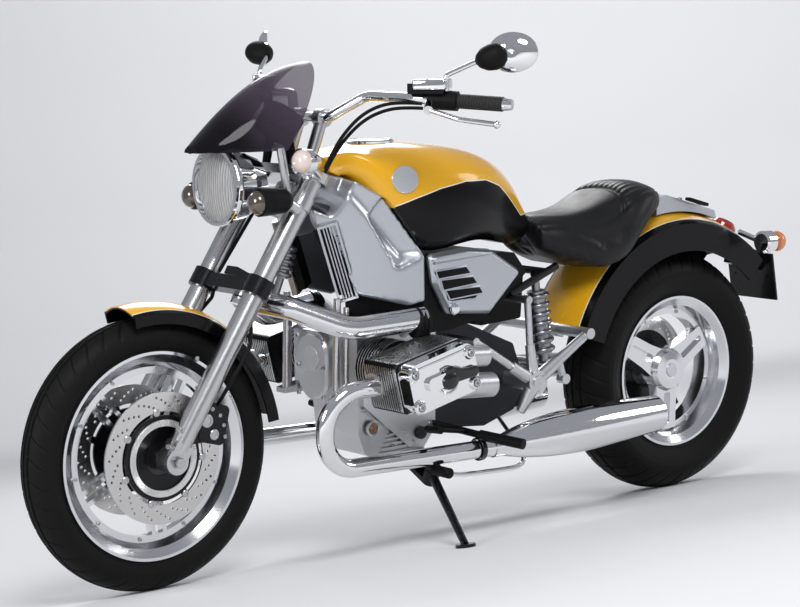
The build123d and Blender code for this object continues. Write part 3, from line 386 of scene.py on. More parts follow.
def chrome_finish(name, colour=(0.86, 0.87, 0.88, 1), roughness=0.04):
    """Chrome plate: near-mirror, with faint polish haze."""
    plating = Finish(name, Metallic=1.0, Base_Color=colour)
    plating.give(Roughness=roughness + 0.03 * plating.noise(7.0, 2.0))
    return plating.bump(plating.noise(5.0, 2.0), 0.0006, 0.15)


chrome = chrome_finish("chrome_plate")
dress(fins, "cylinders", "cylinder_heads")
dress(chrome, "valve_covers")


def block(size, edge, segments=2):
    """A box with rounded edges."""
    shape = bmesh.new()
    bmesh.ops.create_cube(shape, size=1)
    bmesh.ops.scale(shape, vec=size, verts=shape.verts)
    bmesh.ops.bevel(
        shape, geom=shape.edges[:], offset=edge, segments=segments, profile=0.5, affect="EDGES", material=-1
    )
    return shape


def plate(outline, thickness, edge=0.0, segments=2):
    """A flat outline in X and Y thickened along Z, with rounded edges."""
    shape = bmesh.new()
    face = shape.faces.new([shape.verts.new((x, y, 0)) for x, y in outline])
    grown = bmesh.ops.extrude_face_region(shape, geom=[face])["geom"]
    bmesh.ops.translate(shape, vec=(0, 0, thickness), verts=[v for v in grown if isinstance(v, bmesh.types.BMVert)])
    bmesh.ops.recalc_face_normals(shape, faces=shape.faces)
    if edge:
        bmesh.ops.bevel(
            shape, geom=shape.edges[:], offset=edge, segments=segments, profile=0.5, affect="EDGES", material=-1
        )
    return shape


COVER_SPOTS = [(86, 38), (86, -40), (-84, 36), (-84, -40)]
screw_boss = lathe([(0, -6), (17, -6), (17, 3), (14, 7), (10.5, 8), (10.5, 2), (0, 2)], 32)
fit("cover_bosses", screw_boss, chrome, "chassis", head_places(384, COVER_SPOTS))
fit("cover_bolts", socket_screw(8.5, 9), steel, "chassis", head_places(385, COVER_SPOTS))
ridge = block((186, 5, 4), 1.9, 3)
fit("cover_ridges", ridge, chrome, "chassis", head_places(384.5, [(0, 47)]))
gasket_edge = [
    (x * 77 + 24 * cos(radians(turn + 15 * k)), y * 36.5 + 24 * sin(radians(turn + 15 * k)))
    for x, y, turn in ((1, 1, 0), (-1, 1, 90), (-1, -1, 180), (1, -1, 270))
    for k in range(7)
]
gasket = plate(gasket_edge, 3.2)
fit("cover_gaskets", gasket, enamel, "chassis", head_places(339.4, [(0, 0)]))
plug = lathe([(0, -3), (25, -3), (25, 9), (22, 14), (14, 17), (0, 18)], 40)
bmesh.ops.scale(plug, vec=(1.0, 0.84, 1.0), verts=plug.verts)
fit("plug_covers", plug, enamel, "chassis", head_places(384, [(-8, -7)]))
PLUG_EDGE = [
    (2, -24), (-20, -26), (-44, -14), (-70, -4), (-93, -2),
    (-95, 15), (-84, 22), (-56, 19), (-30, 17), (0, 14),
]
plug_run = plate(PLUG_EDGE, 14, 4.5, 4)
fit("plug_leads", plug_run, enamel, "chassis", head_places(384, [(0, 0)]))
recess = lathe([(27, 0), (33, 0), (33, 1.6), (30, 2.8), (27, 1.6)], 48, closed=True)
fit("plug_rims", recess, chrome, "chassis", head_places(384, [(-8, -7)]))


# ---- Intake and airbox
# Cast throttle bodies behind the heads run up to a black moulded airbox under the tank,
# clamped at both ends. The battery box behind it is moulded too.
moulded = Finish("black_moulding", Base_Color=(0.004, 0.004, 0.0045, 1), Specular_IOR_Level=0.14)
moulded.give(Roughness=0.34 + 0.2 * moulded.noise(30.0)).bump(moulded.noise(1200.0), 0.0002, 0.4)
dress(moulded, "airbox", "battery_box")
dress(blasted, "throttle_bodies")


# ---- Exhaust
# Steel header pipes sweep forward and down from the heads into long chromed silencers.
# They are plated after bending, and each joint is closed by a clamp.
dress(chrome, "exhaust_headers", "mufflers")
clamp = lathe([(24.5, -6), (27, -7), (28.5, -5), (28.5, 5), (27, 7), (24.5, 6)], 40, closed=True)
fit("exhaust_clamps", clamp, enamel, "chassis", both(stand((846, 230, 252), (1, 0, 0.0))))
flange = lathe([(24, -4), (33, -4), (33, 4), (24, 4)], 32, closed=True)
fit("header_flanges", flange, steel, "chassis", both(stand((1176, 250, 448), (1, 0, -0.1))))


# ---- Front frame casting
# A hollow alloy casting carries the steering head and the nose of the tank. It is painted
# metallic silver; slatted covers close its two oil-cooler ducts, and satin tubes run down.
silver = Finish("silver_paint", Metallic=0.8, Coat_Roughness=0.05, Coat_Weight=0.6)
flake = silver.noise(2200.0, 1.0)
silver.give(Base_Color=flake.mix((0.42, 0.44, 0.48, 1), (0.58, 0.60, 0.64, 1)))
silver.give(Roughness=0.28 + 0.08 * silver.noise(20.0))
dress(silver, "cooler_grilles")
dress(moulded, "oil_coolers")


def softened(node, voxel, rounds):
    """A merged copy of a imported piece, remeshed evenly and smoothed, in upright millimetres."""
    shape = bmesh.new()
    shape.from_mesh(frame["nodes"][node].data)
    bmesh.ops.remove_doubles(shape, verts=shape.verts, dist=1e-6)
    bmesh.ops.transform(shape, matrix=PARKED.inverted(), verts=shape.verts)
    mesh = bpy.data.meshes.new("even")
    shape.to_mesh(mesh)
    shape.free()
    work = bpy.data.objects.new("even", mesh)
    bpy.context.scene.collection.objects.link(work)
    even = work.modifiers.new("even", "REMESH")
    even.mode = "VOXEL"
    even.voxel_size = voxel
    soft = work.modifiers.new("soft", "SMOOTH")
    soft.factor = 0.5
    soft.iterations = rounds
    bpy.context.view_layer.update()
    result = bmesh.new()
    result.from_mesh(bpy.data.meshes.new_from_object(work.evaluated_get(bpy.context.evaluated_depsgraph_get())))
    bpy.data.objects.remove(work)
    return result


GRILLE_OUT = Vector((0.51, 0.84, -0.16)).normalized()
GRILLE_DOWN = Vector((-81, 16.4, -172)).normalized()
GRILLE = Matrix((GRILLE_DOWN.cross(GRILLE_OUT), GRILLE_DOWN, GRILLE_OUT)).transposed().to_4x4()
GRILLE.translation = (1163.5, 93.4, 727)
fit("duct_screens", block((39, 186, 4), 1.2), moulded, "chassis", both(GRILLE))


def step(value, low, high):
    """0 below low, 1 above high, and a smooth rise between."""
    share = min(max((value - low) / (high - low), 0), 1)
    return share * share * (3 - 2 * share)


casting = softened("head_casting", 3.6, 14)
for vert in casting.verts:
    x, y, z = vert.co
    behind = -0.786 * (x - 1091) + 0.619 * (z - 812)
    over = 0.246 * (x - 1017) + 0.969 * (z - 718)
    hollow = 13 * step(behind, -4, 20) * step(over, -4, 20) * (1 - step(behind, 28, 80))
    if abs(y) > 90:
        vert.co.y -= hollow * (1 if y > 0 else -1)
for _ in range(5):
    bmesh.ops.smooth_vert(casting, verts=casting.verts, factor=0.5, use_axis_x=True, use_axis_y=True, use_axis_z=True)
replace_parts(fit("frame_casting", casting, silver, "chassis", sharp=60), "head_casting")
satin = cast_metal("satin_alloy", (0.62, 0.62, 0.63, 1), 0.26, 1400.0)
dress(satin, "down_tubes")


# ---- Link arm and front strut
# A polished alloy arm runs from rubber-booted pivots on the engine to the lower fork ball,
# and a short coil strut stands on it.
polished = chrome_finish("polished_alloy", (0.78, 0.79, 0.81, 1), 0.12)
black_gloss = Finish("black_gloss_paint", Base_Color=(0.004, 0.004, 0.005, 1), Specular_IOR_Level=0.2)
black_gloss.give(Roughness=0.22 + 0.12 * black_gloss.noise(14.0), Coat_Weight=0.2)
rubber = Finish("black_rubber", Base_Color=(0.006, 0.006, 0.006, 1), Specular_IOR_Level=0.12)
rubber.give(Roughness=0.45 + 0.2 * rubber.noise(12.0)).bump(rubber.noise(700.0), 0.0002, 0.5)
dress(polished, "a_arm")
spring_grey = cast_metal("spring_grey", (0.34, 0.35, 0.37, 1), 0.3, 500.0)
dress(spring_grey, "front_strut")
boot = lathe([(20, -6), (36, -6), (38, 0), (34, 4), (38, 9), (34, 14), (38, 19), (35, 24), (20, 24)], 40, closed=True)
fit("arm_boots", boot, rubber, "chassis", both(stand((1022, 215, 578), (-1, 0.15, -0.1))))


# ---- Fork
# Two straight alloy legs, satin with a clear anodised skin, tied by a lower bridge and a
# forged upper yoke with the handlebar risers.
dress(satin, "fork_legs", "upper_fork_yoke", "headlight_bracket")
dress(black_gloss, "fork_bridge")
WHEELBASE = 1650.0
FRONT_RADIUS = 318.5
pinch = both(stand((1660, 112, 352), (0.5, 0.6, 0.2)), stand((1640, 125, 392), (0.5, 0.8, 0.3)))
fit("axle_pinch_bolts", socket_screw(6, 6), steel, "steering", pinch)
axle_cap = lathe([(0, 0), (9.5, 0), (9.5, 3), (12.5, 4), (12.5, 9), (11, 10), (0, 10)], 6)
fit("axle_nuts", axle_cap, steel, "steering", both(stand((WHEELBASE, 138, FRONT_RADIUS), (0, 1, 0))))


# ---- Tyres
# Black rubber carcasses with a crowned tread. Grooves run round them, and slanting sipes are
# cut from the shoulders towards the middle.
FRONT_HUB = Matrix.Translation((WHEELBASE, 0, FRONT_RADIUS)) @ Matrix.Rotation(radians(-90), 4, "X")
REAR_HUB = Matrix.Translation((0, 0, REAR_RADIUS)) @ Matrix.Rotation(radians(-90), 4, "X")
GROOVE = 4.0


def tyre(radius, width, crown, flange, rim_width, grooves, sipes, slices):
    """One tyre about Z: crown arc, bulged walls and beads, with its tread cut in."""
    half = width / 2
    reach = half * 0.985
    spots = {round(-reach + 2 * reach * k / slices, 3) for k in range(slices + 1)}
    for line in grooves:
        spots = {spot for spot in spots if abs(spot - line) > 3.4}
        spots |= {line - 3.2, line - 2.2, line + 2.2, line + 3.2}
    profile = []
    for y in sorted(spots):
        depth = GROOVE if any(abs(y - line) < 2.5 for line in grooves) else 0.0
        profile.append(((crown * crown - y * y) ** 0.5 + radius - crown - depth, y))
    shoulder = profile[-1]
    bead = (flange + 2, rim_width / 2 - 5.3)
    wall = []
    for k in range(1, 15):
        share = k / 15
        bulge = 4.5 * sin(pi * share)
        raised = 0.9 if k in (3, 4, 12) else 0.0
        out = shoulder[1] + (bead[1] - shoulder[1]) * share ** 1.7 + bulge * 0.35 + raised
        wall.append((shoulder[0] + (bead[0] - shoulder[0]) * share, min(out, half)))
    wall += [bead, (flange - 13.2, bead[1])]
    profile += wall + [(up, -out) for up, out in reversed(wall)]
    pitch = 10
    shape = lathe(profile, sipes * pitch, closed=True)
    for vert in shape.verts:
        up, y = vert.co.xy.length, vert.co.z
        angle = round(vert.co.xy.angle_signed(Vector((1, 0))) / (2 * pi) * sipes * pitch)
        on_tread = up > shoulder[0] - 1 and abs(y) < reach * 0.97
        side = 0 if y > 0 else pitch // 2
        if on_tread and abs(y) > half * 0.16 and (angle + side) % pitch == 0:
            vert.co.xy *= (up - GROOVE * 0.9) / up
        turn = Matrix.Rotation(min(abs(y), reach) / half * 0.16, 3, "Z")
        vert.co = turn @ vert.co
    return shape


front_tread = tyre(FRONT_RADIUS, 103, 52, 242, 84, (-14, 0, 14), 40, 30)
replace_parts(fit("front_tyre_tread", front_tread, rubber, "front_wheel", [FRONT_HUB]), "front_tyre")
rear_tread = tyre(REAR_RADIUS, 170, 92, 204, 126, (-26, 0, 26), 40, 40)
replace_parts(fit("rear_tyre_tread", rear_tread, rubber, "rear_wheel", [REAR_HUB]), "rear_tyre")


# ---- Wheels
# Cast alloy wheels, polished all over, with a black centre to the front hub. Small bolts ring the
# spoke casting, and a plain disc closes the rear hub.
wheel_metal = Finish("wheel_polish", Coat_Weight=0.2, Coat_Roughness=0.03)
wheel_x, _, wheel_z = upright(wheel_metal)
along_x = wheel_x - WHEELBASE
along_z = wheel_z - FRONT_RADIUS
hub_paint = 1 - along_x.maths("POWER", along_x * along_x + along_z * along_z, 0.5).above(70.0, 1.0)
polish = wheel_metal.noise(6.0).mix((0.72, 0.73, 0.75, 1), (0.80, 0.81, 0.83, 1))
wheel_metal.give(Base_Color=hub_paint.mix(polish, (0.006, 0.006, 0.007, 1)), Metallic=1 - hub_paint)
wheel_metal.give(Roughness=0.12 + 0.05 * wheel_metal.noise(9.0) + 0.15 * hub_paint)
dress(wheel_metal, "front_wheel_casting", "rear_wheel_casting")
dress(steel, "front_axle")


def ring_of(count, radius, height, start=0.0):
    """Evenly spaced places round an axle, facing along it."""
    reach = Matrix.Translation((radius, 0, height))
    return [Matrix.Rotation(radians(start + 360 * k / count), 4, "Z") @ reach for k in range(count)]


FLIP = Matrix.Rotation(pi, 4, "X")
front_bolts = ring_of(10, 197, 11, 9)
front_bolts = [FRONT_HUB @ spot for spot in front_bolts + [FLIP @ spot for spot in front_bolts]]
fit("front_rim_bolts", socket_screw(4.6, 4), steel, "front_wheel", front_bolts)
rear_bolts = [REAR_HUB @ spot for spot in ring_of(8, 160, 20, 75)]
fit("rear_rim_bolts", socket_screw(5, 4), steel, "rear_wheel", rear_bolts)
plain_disc("rear_hub_disc", 19.0, [REAR_HUB @ Matrix.Translation((0, 0, 44))], "rear_wheel")


# ---- Brake discs, carriers and calipers
# Steel rings drilled in slanting rows float on black carriers by round bobbins; a toothed
# speed ring sits inside the left one. Black four-piston calipers carry bright caps.
disc_steel = chrome_finish("disc_steel", (0.66, 0.65, 0.64, 1), 0.22)


def drilled_disc(name, outer, inner, low, high, rows, count, hole, hub, body, sides):
    """A flat ring with rows of holes drilled through it."""
    ring = bpy.data.objects.new("ring", bpy.data.meshes.new("ring"))
    disc = lathe([(inner, low), (outer, low), (outer, high), (inner, high)], 128, closed=True)
    bmesh.ops.recalc_face_normals(disc, faces=disc.faces)
    disc.to_mesh(ring.data)
    disc.free()
    drills = bmesh.new()
    for k in range(count):
        reach = inner + 8 + (outer - inner - 16) * ((k % rows) + 0.5) / rows
        spot = Matrix.Rotation(2 * pi * k / count, 4, "Z") @ Matrix.Translation((reach, 0, (low + high) / 2))
        bmesh.ops.create_cone(
            drills, cap_ends=True, segments=12, radius1=hole, radius2=hole, depth=30, matrix=spot
        )
    tool = bpy.data.objects.new("drills", bpy.data.meshes.new("drills"))
    drills.to_mesh(tool.data)
    drills.free()
    for thing in (ring, tool):
        bpy.context.scene.collection.objects.link(thing)
    cut = ring.modifiers.new("drilling", "BOOLEAN")
    cut.object = tool
    cut.operation = "DIFFERENCE"
    bpy.context.view_layer.update()
    drilled = bmesh.new()
    drilled.from_mesh(bpy.data.meshes.new_from_object(ring.evaluated_get(bpy.context.evaluated_depsgraph_get())))
    for thing in (ring, tool):
        bpy.data.objects.remove(thing)
    return fit(name, drilled, disc_steel, body, [hub @ side for side in sides], 30)


front_discs = drilled_disc(
    "front_discs", 152.5, 108, 67, 72, 4, 72, 3.3, FRONT_HUB, "front_wheel", [Matrix(), FLIP]
)
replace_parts(front_discs, "front_brake_discs")
rear_disc = drilled_disc("rear_disc", 142, 100, -62, -56, 4, 60, 3.3, REAR_HUB, "rear_wheel", [Matrix()])
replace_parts(rear_disc, "rear_brake_disc")
both_faces = [FRONT_HUB, FRONT_HUB @ FLIP]
carrier = lathe([(40, 58.5), (66, 60), (84, 66), (99, 66), (99, 71), (84, 71), (66, 66), (40, 64.5)], 96, closed=True)
fit("disc_carriers", carrier, black_gloss, "front_wheel", both_faces)
arm = block((20, 17, 4.4), 1.5)
arms = [face @ spot for face in both_faces for spot in ring_of(7, 102, 68.6, 20)]
fit("carrier_arms", arm, black_gloss, "front_wheel", arms)
bobbin = lathe([(0, -3), (9, -3), (9, 4), (7.5, 5.2), (4, 5.2), (3.4, 3.6), (0, 3.6)], 24)
bobbins = [face @ spot for face in both_faces for spot in ring_of(7, 107, 69.5, 20)]
fit("disc_bobbins", bobbin, steel, "front_wheel", bobbins)
tooth_ring = lathe([(74, 72), (89, 72), (89, 75.5), (74, 75.5)], 96, closed=True)
tooth_steel = chrome_finish("ring_zinc", (0.84, 0.84, 0.83, 1), 0.3)
fit("speed_ring", tooth_ring, tooth_steel, "front_wheel", [FRONT_HUB])
teeth = [FRONT_HUB @ spot for spot in ring_of(100, 81.5, 76.5)]
fit("speed_ring_teeth", block((13, 2.8, 2.4), 0.5, 1), tooth_steel, "front_wheel", teeth)
rear_carrier = lathe([(37, -61), (104, -61), (104, -57), (60, -57), (37, -56)], 64, closed=True)
fit("rear_disc_carrier", rear_carrier, black_gloss, "rear_wheel", [REAR_HUB])
dress(black_gloss, "brake_calipers", "rear_caliper")
dress(rubber, "brake_hoses")
CAPS = [(1543, 394, 15.5), (1525, 360, 12.5)]
for number, (x, z, radius) in enumerate(CAPS):
    rim = [(0, -2), (radius, -2), (radius, 2.6), (radius - 2, 4), (radius * 0.6, 4), (radius * 0.55, 2), (0, 2)]
    fit(f"caliper_caps_{number + 1}", lathe(rim, 32), steel, "steering", both(stand((x, 95, z), (0, 1, 0))))
caliper_bolts = both(*[stand((x, 95, z), (0, 1, 0)) for x, z in ((1529, 420), (1509, 403), (1500, 379), (1497, 352))])
fit("caliper_bolts", socket_screw(5, 5), steel, "steering", caliper_bolts)


# ---- Front fender
# A pressed steel guard bolted to the fork legs: gold along its crown and black on its skirts,
# with a thin white line between. Its inside is coloured black as painted shade.
GOLD = (0.80, 0.40, 0.010, 1)
DEEP_GOLD = (0.86, 0.46, 0.02, 1)
BLACK = (0.002, 0.002, 0.0025, 1)
LINE = (0.85, 0.83, 0.78, 1)


def lacquer(finish, black_paint_and_shade, line):
    """Gold lacquer with fine flake, a black field and a white line along its edge; the black field also carries
    painted shade where a caller adds it.
    """
    flakes = finish.noise(1800.0, 1.0).mix(GOLD, DEEP_GOLD)
    two_tone = black_paint_and_shade.mix(flakes, BLACK)
    colour = line.node("ShaderNodeMix", {0: line, 6: two_tone, 7: LINE}, 2, data_type="RGBA")
    finish.give(Base_Color=colour, Roughness=0.24 + 0.05 * finish.noise(18.0), Specular_IOR_Level=0.12)
    finish.give(Coat_Weight=0.75 - 0.55 * black_paint_and_shade, Coat_Roughness=0.12)


def crown_paint(name, edge_line, axle, radius, fall):
    """Lacquer that is black outside a line each side of the crown; inside the guard it is black as painted shade."""
    finish = Finish(name)
    x, y, z = upright(finish)
    away, ahead, up = y.size(), x - axle[0], z - axle[1]
    reach = ahead.maths("POWER", ahead * ahead + up * up, 0.5) + fall * (away * away)
    outer = reach.above(radius, 0.5)
    line = (away.above(edge_line - 2.4, 0.4) - away.above(edge_line, 0.4)) * outer
    # 1 - outer blackens the guard's inside: painted shade under the guard.
    lacquer(finish, away.above(edge_line, 0.5).most(1 - outer), line)
    return finish


fender_paint = crown_paint("fender_paint", 57.0, (WHEELBASE, FRONT_RADIUS), 349.0, 0.0046)
dress(fender_paint, "front_fender")
stay_bolts = both(*[stand((x, 86, z), (0, 1, 0)) for x, z in ((1470, 566), (1560, 540))])
fit("fender_bolts", socket_screw(5, 4), steel, "steering", stay_bolts)


# ---- Headlight
# A chromed bowl carries a fluted, milky glass in a chrome bezel, over a bright reflector and
# a bulb; the glass is paler on each flute, a painted highlight. The bowl hangs on alloy brackets
# from the yoke.
LAMP_FACE = stand((1428, 0, 919.5), (1, 0, 0.0))
dress(chrome, "headlight_shell")
glass = Finish("lamp_glass", Transmission_Weight=0.3, IOR=1.3, Coat_Weight=1.0, Coat_Roughness=0.02)
flute_angle = 0.75 * upright(glass)[1]
flutes_and_highlights = flute_angle.maths("SINE", flute_angle, 0.0)
# The glass colour follows the flutes: pale stripes on each crest are painted highlights.
glass.give(Base_Color=(0.7 + 0.3 * flutes_and_highlights).mix((0.52, 0.53, 0.56, 1), (1.0, 1.0, 1.0, 1)), Roughness=0.10)
glass.bump(flutes_and_highlights, 0.004, 1.0)
dress(glass, "headlight_lens")
bezel = lathe([(84, -5), (93, -6), (95.5, -1), (94, 6), (89, 9), (85, 6), (83.5, 1)], 72, closed=True)
fit("headlight_bezel", bezel, chrome, "steering", [LAMP_FACE])
mirror_silver = chrome_finish("reflector_silver", (0.92, 0.93, 0.95, 1), 0.06)
bowl = lathe([(14, -62), (40, -50), (64, -30), (82, -2), (83, -2), (66, -32), (41, -53), (14, -65)], 64, closed=True)
fit("reflector", bowl, mirror_silver, "steering", [LAMP_FACE])
bulb = lathe([(0, -66), (13, -66), (13, -52), (8, -50), (8, -28), (5, -23), (0, -21)], 24)
fit("headlight_bulb", bulb, steel, "steering", [LAMP_FACE])


# ---- Windscreen and instrument
# A smoked polycarbonate cowl wraps the headlight: nearly black ahead and low down, clearer
# and purple-grey towards the rider. A black moulded instrument pod sits inside it.
smoke = Finish("smoked_screen", Specular_IOR_Level=0.2, IOR=1.45)
smoke_x, _, smoke_z = upright(smoke)
clearer = (smoke_x - 0.45 * smoke_z).above(850.0, -130.0)
smoke.give(Base_Color=clearer.mix((0.006, 0.005, 0.007, 1), (0.085, 0.065, 0.095, 1)))
smoke.give(Alpha=0.97 - 0.42 * clearer, Roughness=0.05)
dress(smoke, "windscreen")
dress(moulded, "instrument_pod")


# ---- Handlebar and controls
# One bent steel tube in chrome with rubber grips. Cast control housings carry the levers,
# switches and fluid reservoirs; clutch and throttle cables run under the bar.
grip_rubber = Finish("grip_rubber", Base_Color=(0.010, 0.010, 0.010, 1))
grip_y = upright(grip_rubber)[1].size()
rib_angle = 1.1 * grip_y
ribs = rib_angle.maths("SINE", rib_angle, 0.0)
grip_rubber.give(Roughness=0.5 + 0.15 * grip_rubber.noise(50.0)).bump(ribs, 0.0012, 0.8)
dress(chrome, "handlebar", "mirrors", "levers")
dress(moulded, "control_housings")
dress(grip_rubber, "grips")


def routed(points, radius):
    """A cable, hose or rod through points, made into a mesh."""
    curve = bpy.data.curves.new("run", "CURVE")
    curve.dimensions = "3D"
    curve.bevel_depth = radius
    curve.bevel_resolution = 3
    curve.resolution_u = 6
    curve.use_fill_caps = True
    spline = curve.splines.new("NURBS")
    spline.points.add(len(points) - 1)
    for point, place in zip(spline.points, points):
        point.co = (*place, 1)
    spline.order_u = 3
    spline.use_endpoint_u = True
    holder = bpy.data.objects.new("run", curve)
    bpy.context.scene.collection.objects.link(holder)
    bpy.context.view_layer.update()
    shape = bmesh.new()
    mesh = bpy.data.meshes.new_from_object(holder.evaluated_get(bpy.context.evaluated_depsgraph_get()))
    shape.from_mesh(mesh)
    bpy.data.objects.remove(holder)
    return shape


LEFT_RUNS = [
    [
        (1076, 316, 1103), (1104, 275, 1106), (1130, 235, 1100), (1152, 195, 1080),
        (1172, 162, 1046), (1196, 138, 1000), (1214, 124, 952),
    ],
    [
        (1072, 314, 1092), (1098, 270, 1094), (1122, 230, 1086), (1144, 190, 1066),
        (1166, 156, 1032), (1192, 132, 986), (1212, 118, 940),
    ],
]
for number, run in enumerate(LEFT_RUNS):
    fit(f"bar_cable_{number + 1}", routed(run, 4.2), rubber, "steering", [Matrix(), OTHER_SIDE])
lid = block((62, 80, 24), 5, 3)
fit("reservoir_lids", lid, chrome, "steering", both(stand((1058, 334, 1147), (0.0, 0.0, 1), 33)))
lid_screws = [stand((1058 + dx, 336 + dy, 1158), (0, 0, 1)) for dx, dy in ((24, 8), (-22, -8))]
fit("lid_screws", socket_screw(3.4, 3), steel, "steering", both(*lid_screws))
cup = lathe([(0, -4), (9, -4), (12, 0), (24, 12), (33, 28), (36, 45), (33, 60), (22, 74), (0, 82)], 40)
bmesh.ops.scale(cup, vec=(1.0, 0.85, 1.0), verts=cup.verts)
fit("mirror_boots", cup, rubber, "steering", both(stand((990, 418, 1198), (-0.13, 0.95, 0.22), 0)))


# ---- Fuel tank
# A pressed steel tank: gold upper panels over black flanks, white pin line, chrome filler cap
# and a plain disc each side.
tank_paint = Finish("tank_paint")
tank_x, _, tank_z = upright(tank_paint)
CURVE = [(575, 793), (649, 845), (702, 880), (762, 899), (838, 901), (917, 889), (986, 869), (1035, 852)]
START, REACH, LOW, HIGH = 560, 480, 770, 910
stops = [((x - START) / REACH, ((z - LOW) / (HIGH - LOW),) * 3 + (1,)) for x, z in CURVE]
share = (tank_x - START) / REACH
border = share.node("ShaderNodeValToRGB", {0: share}, stops=stops)
border = (HIGH - LOW) * border + LOW
behind_nose = tank_x.maths("LESS_THAN", tank_x, 1034.0)
below = border - tank_z
pin_line = (below.above(-2.6, 0.4) - below.above(0.0, 0.4)).most(0.0)
lacquer(tank_paint, below.above(0.0, 1.0) * behind_nose, pin_line * behind_nose)
dress(tank_paint, "fuel_tank")
cap = lathe([(0, -8), (58, -8), (58, 1), (54, 4), (49, 5), (47, 4), (30, 7), (0, 8)], 64)
fit("filler_cap", cap, chrome, "chassis", [stand((984, 0, 1000), (0.0, 0, 1))])
plain_disc("tank_discs", 33.0, both(stand((1009.5, 165.0, 916.2), (0.32, 0.93, 0.16))), "chassis")


# ---- Side panels
# Pressed panels below the tank, painted silver. Each has three black slots with rolled silver
# edges, a raised band along its top and a chromed bolt.
panels = softened("side_panels", 2.4, 8)
for vert in panels.verts:
    x, y, z = vert.co
    band = z - 709 - 0.05 * (941 - x)
    vert.co.y += (6 * step(band, -2, 4) - 7 * step(band, 14, 34)) * step(abs(y), 172, 178) * (1 if y > 0 else -1)
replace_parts(fit("panel_skins", panels, silver, "chassis", sharp=60), "side_panels")
SLOTS = [
    [(931, 690), (924, 673), (825, 678), (838, 694)],
    [(916, 667), (909, 644), (804, 652), (817, 668)],
    [(901, 641), (889, 620), (786, 626), (797, 641)],
]
PANEL_FACE = Matrix.Translation((0, 179, 0)) @ Matrix.Rotation(radians(90), 4, "X")
for number, slot in enumerate(SLOTS):
    middle = Vector((sum(x for x, z in slot) / 4, sum(z for x, z in slot) / 4))
    wide = []
    for corner, rise in zip(slot, (3, -3, -3, 3)):
        wide.append(tuple(middle + (Vector(corner) - middle) * 1.05 + Vector((0, rise))))
    fit(f"slot_rims_{number + 1}", plate(wide, -3.4, 1.4), silver, "chassis", both(PANEL_FACE))
    fit(f"slots_{number + 1}", plate(slot, -4.2, 1.0), moulded, "chassis", both(PANEL_FACE))
panel_bolt = lathe([(0, 0), (15, 0), (15, 5), (12, 9), (5, 11), (0, 11)], 32)
fit("panel_bolts", panel_bolt, chrome, "chassis", both(stand((877, 179, 595), (0, 1, 0))))


# ---- Frame, shock, swing arm and rear subframe
# Side plates are cast and blasted, and the tubular subframe is painted black. The swing arm
# is satin alloy, bolted to the gearbox, and the shock has a grey coil spring.
dress(blasted, "frame_plates")
dress(black_gloss, "rear_subframe")
dress(satin, "swing_arm")
dress(spring_grey, "rear_shock")


# ---- Rear fender, lamp and plate holder
# A deep pressed guard over the back tyre carries the tail lamp, the indicators and a bracket
# for a blank number plate.
# The rear guard's inside is black too: painted shade.
rear_paint = crown_paint("rear_paint", 89.0, (0, REAR_RADIUS), 429.0, 0.0024)
red_lens = Finish("red_lens", Coat_Weight=1.0, Coat_Roughness=0.02)
red_lens.give(Base_Color=red_lens.noise(25.0).mix((0.28, 0.008, 0.006, 1), (0.42, 0.014, 0.010, 1)), Roughness=0.15)
dress(rear_paint, "rear_fender")
dress(red_lens, "tail_light")
dress(black_gloss, "plate_holder")
blank = Finish("blank_plate", Specular_IOR_Level=0.3)
blank.give(Base_Color=blank.noise(14.0).mix((0.72, 0.72, 0.70, 1), (0.78, 0.78, 0.76, 1)), Roughness=0.4)
PLATE = stand((-366, 0, 552), (-1, 0, 0.15))
plate_sheet = block((158, 112, 2), 0.8)
fit("number_plate", plate_sheet, blank, "chassis", [PLATE @ Matrix.Translation((0, 0, 1))])
plate_bolts = [PLATE @ Matrix.Translation((y, 0, 2)) for y in (-60, 60)]
fit("plate_bolts", socket_screw(6, 4), steel, "chassis", plate_bolts)


# ---- Luggage rack
# A cast alloy carrier on the fender crown, painted silver. Four bolts hold it, and two black
# rubber strips keep the load off the paint.
dress(silver, "luggage_rack")
RACK = stand((-62, 0, 779), (-54, 0, 184))
fit("rack_pads", block((22, 74, 9), 3, 3), rubber, "chassis",
    [RACK @ Matrix.Translation((x, 0, 4)) for x in (-78, 78)])
rack_screws = [RACK @ Matrix.Translation((x, y, 0)) for x in (-49, 49) for y in (-38, 38)]
fit("rack_screws", socket_screw(7, 5), steel, "chassis", rack_screws)


# ---- Indicators and lamps
# Chromed stems carry round indicators, with clear domes in front and amber ones behind. Two
# black auxiliary lamps sit on a bent bracket under the headlight.
dress(moulded, "auxiliary_lamps")
dress(chrome, "front_indicators", "rear_indicators")
amber = Finish("amber_lens", Coat_Weight=1.0, Coat_Roughness=0.02)
amber.give(Base_Color=amber.noise(40.0).mix((0.62, 0.16, 0.03, 1), (0.74, 0.30, 0.10, 1)), Roughness=0.2)
clear_dome = Finish("clear_dome", Coat_Weight=1.0, Coat_Roughness=0.02)
clear_dome.give(Base_Color=clear_dome.noise(40.0).mix((0.60, 0.42, 0.36, 1), (0.82, 0.74, 0.70, 1)), Roughness=0.2)
dark_dome = Finish("dark_dome", Coat_Weight=1.0, Coat_Roughness=0.02, Metallic=0.6)
dark_dome.give(Base_Color=dark_dome.noise(30.0).mix((0.10, 0.085, 0.07, 1), (0.16, 0.13, 0.10, 1)), Roughness=0.16)
dome = lathe([(0, -6), (27, -6), (28, 0), (24, 10), (15, 17), (0, 20)], 40)
fit("front_domes", dome.copy(), clear_dome, "steering", both(stand((1328, 190, 979), (1, 0.1, 0.1))))
rear_domes = both(stand((-262, 186, 668), (-1, 0.1, 0)))
fit("rear_domes", dome.copy(), amber, "chassis", rear_domes)
fit("auxiliary_glasses", dome, dark_dome, "steering", both(stand((1418, 137, 887), (1, 0.08, 0))))


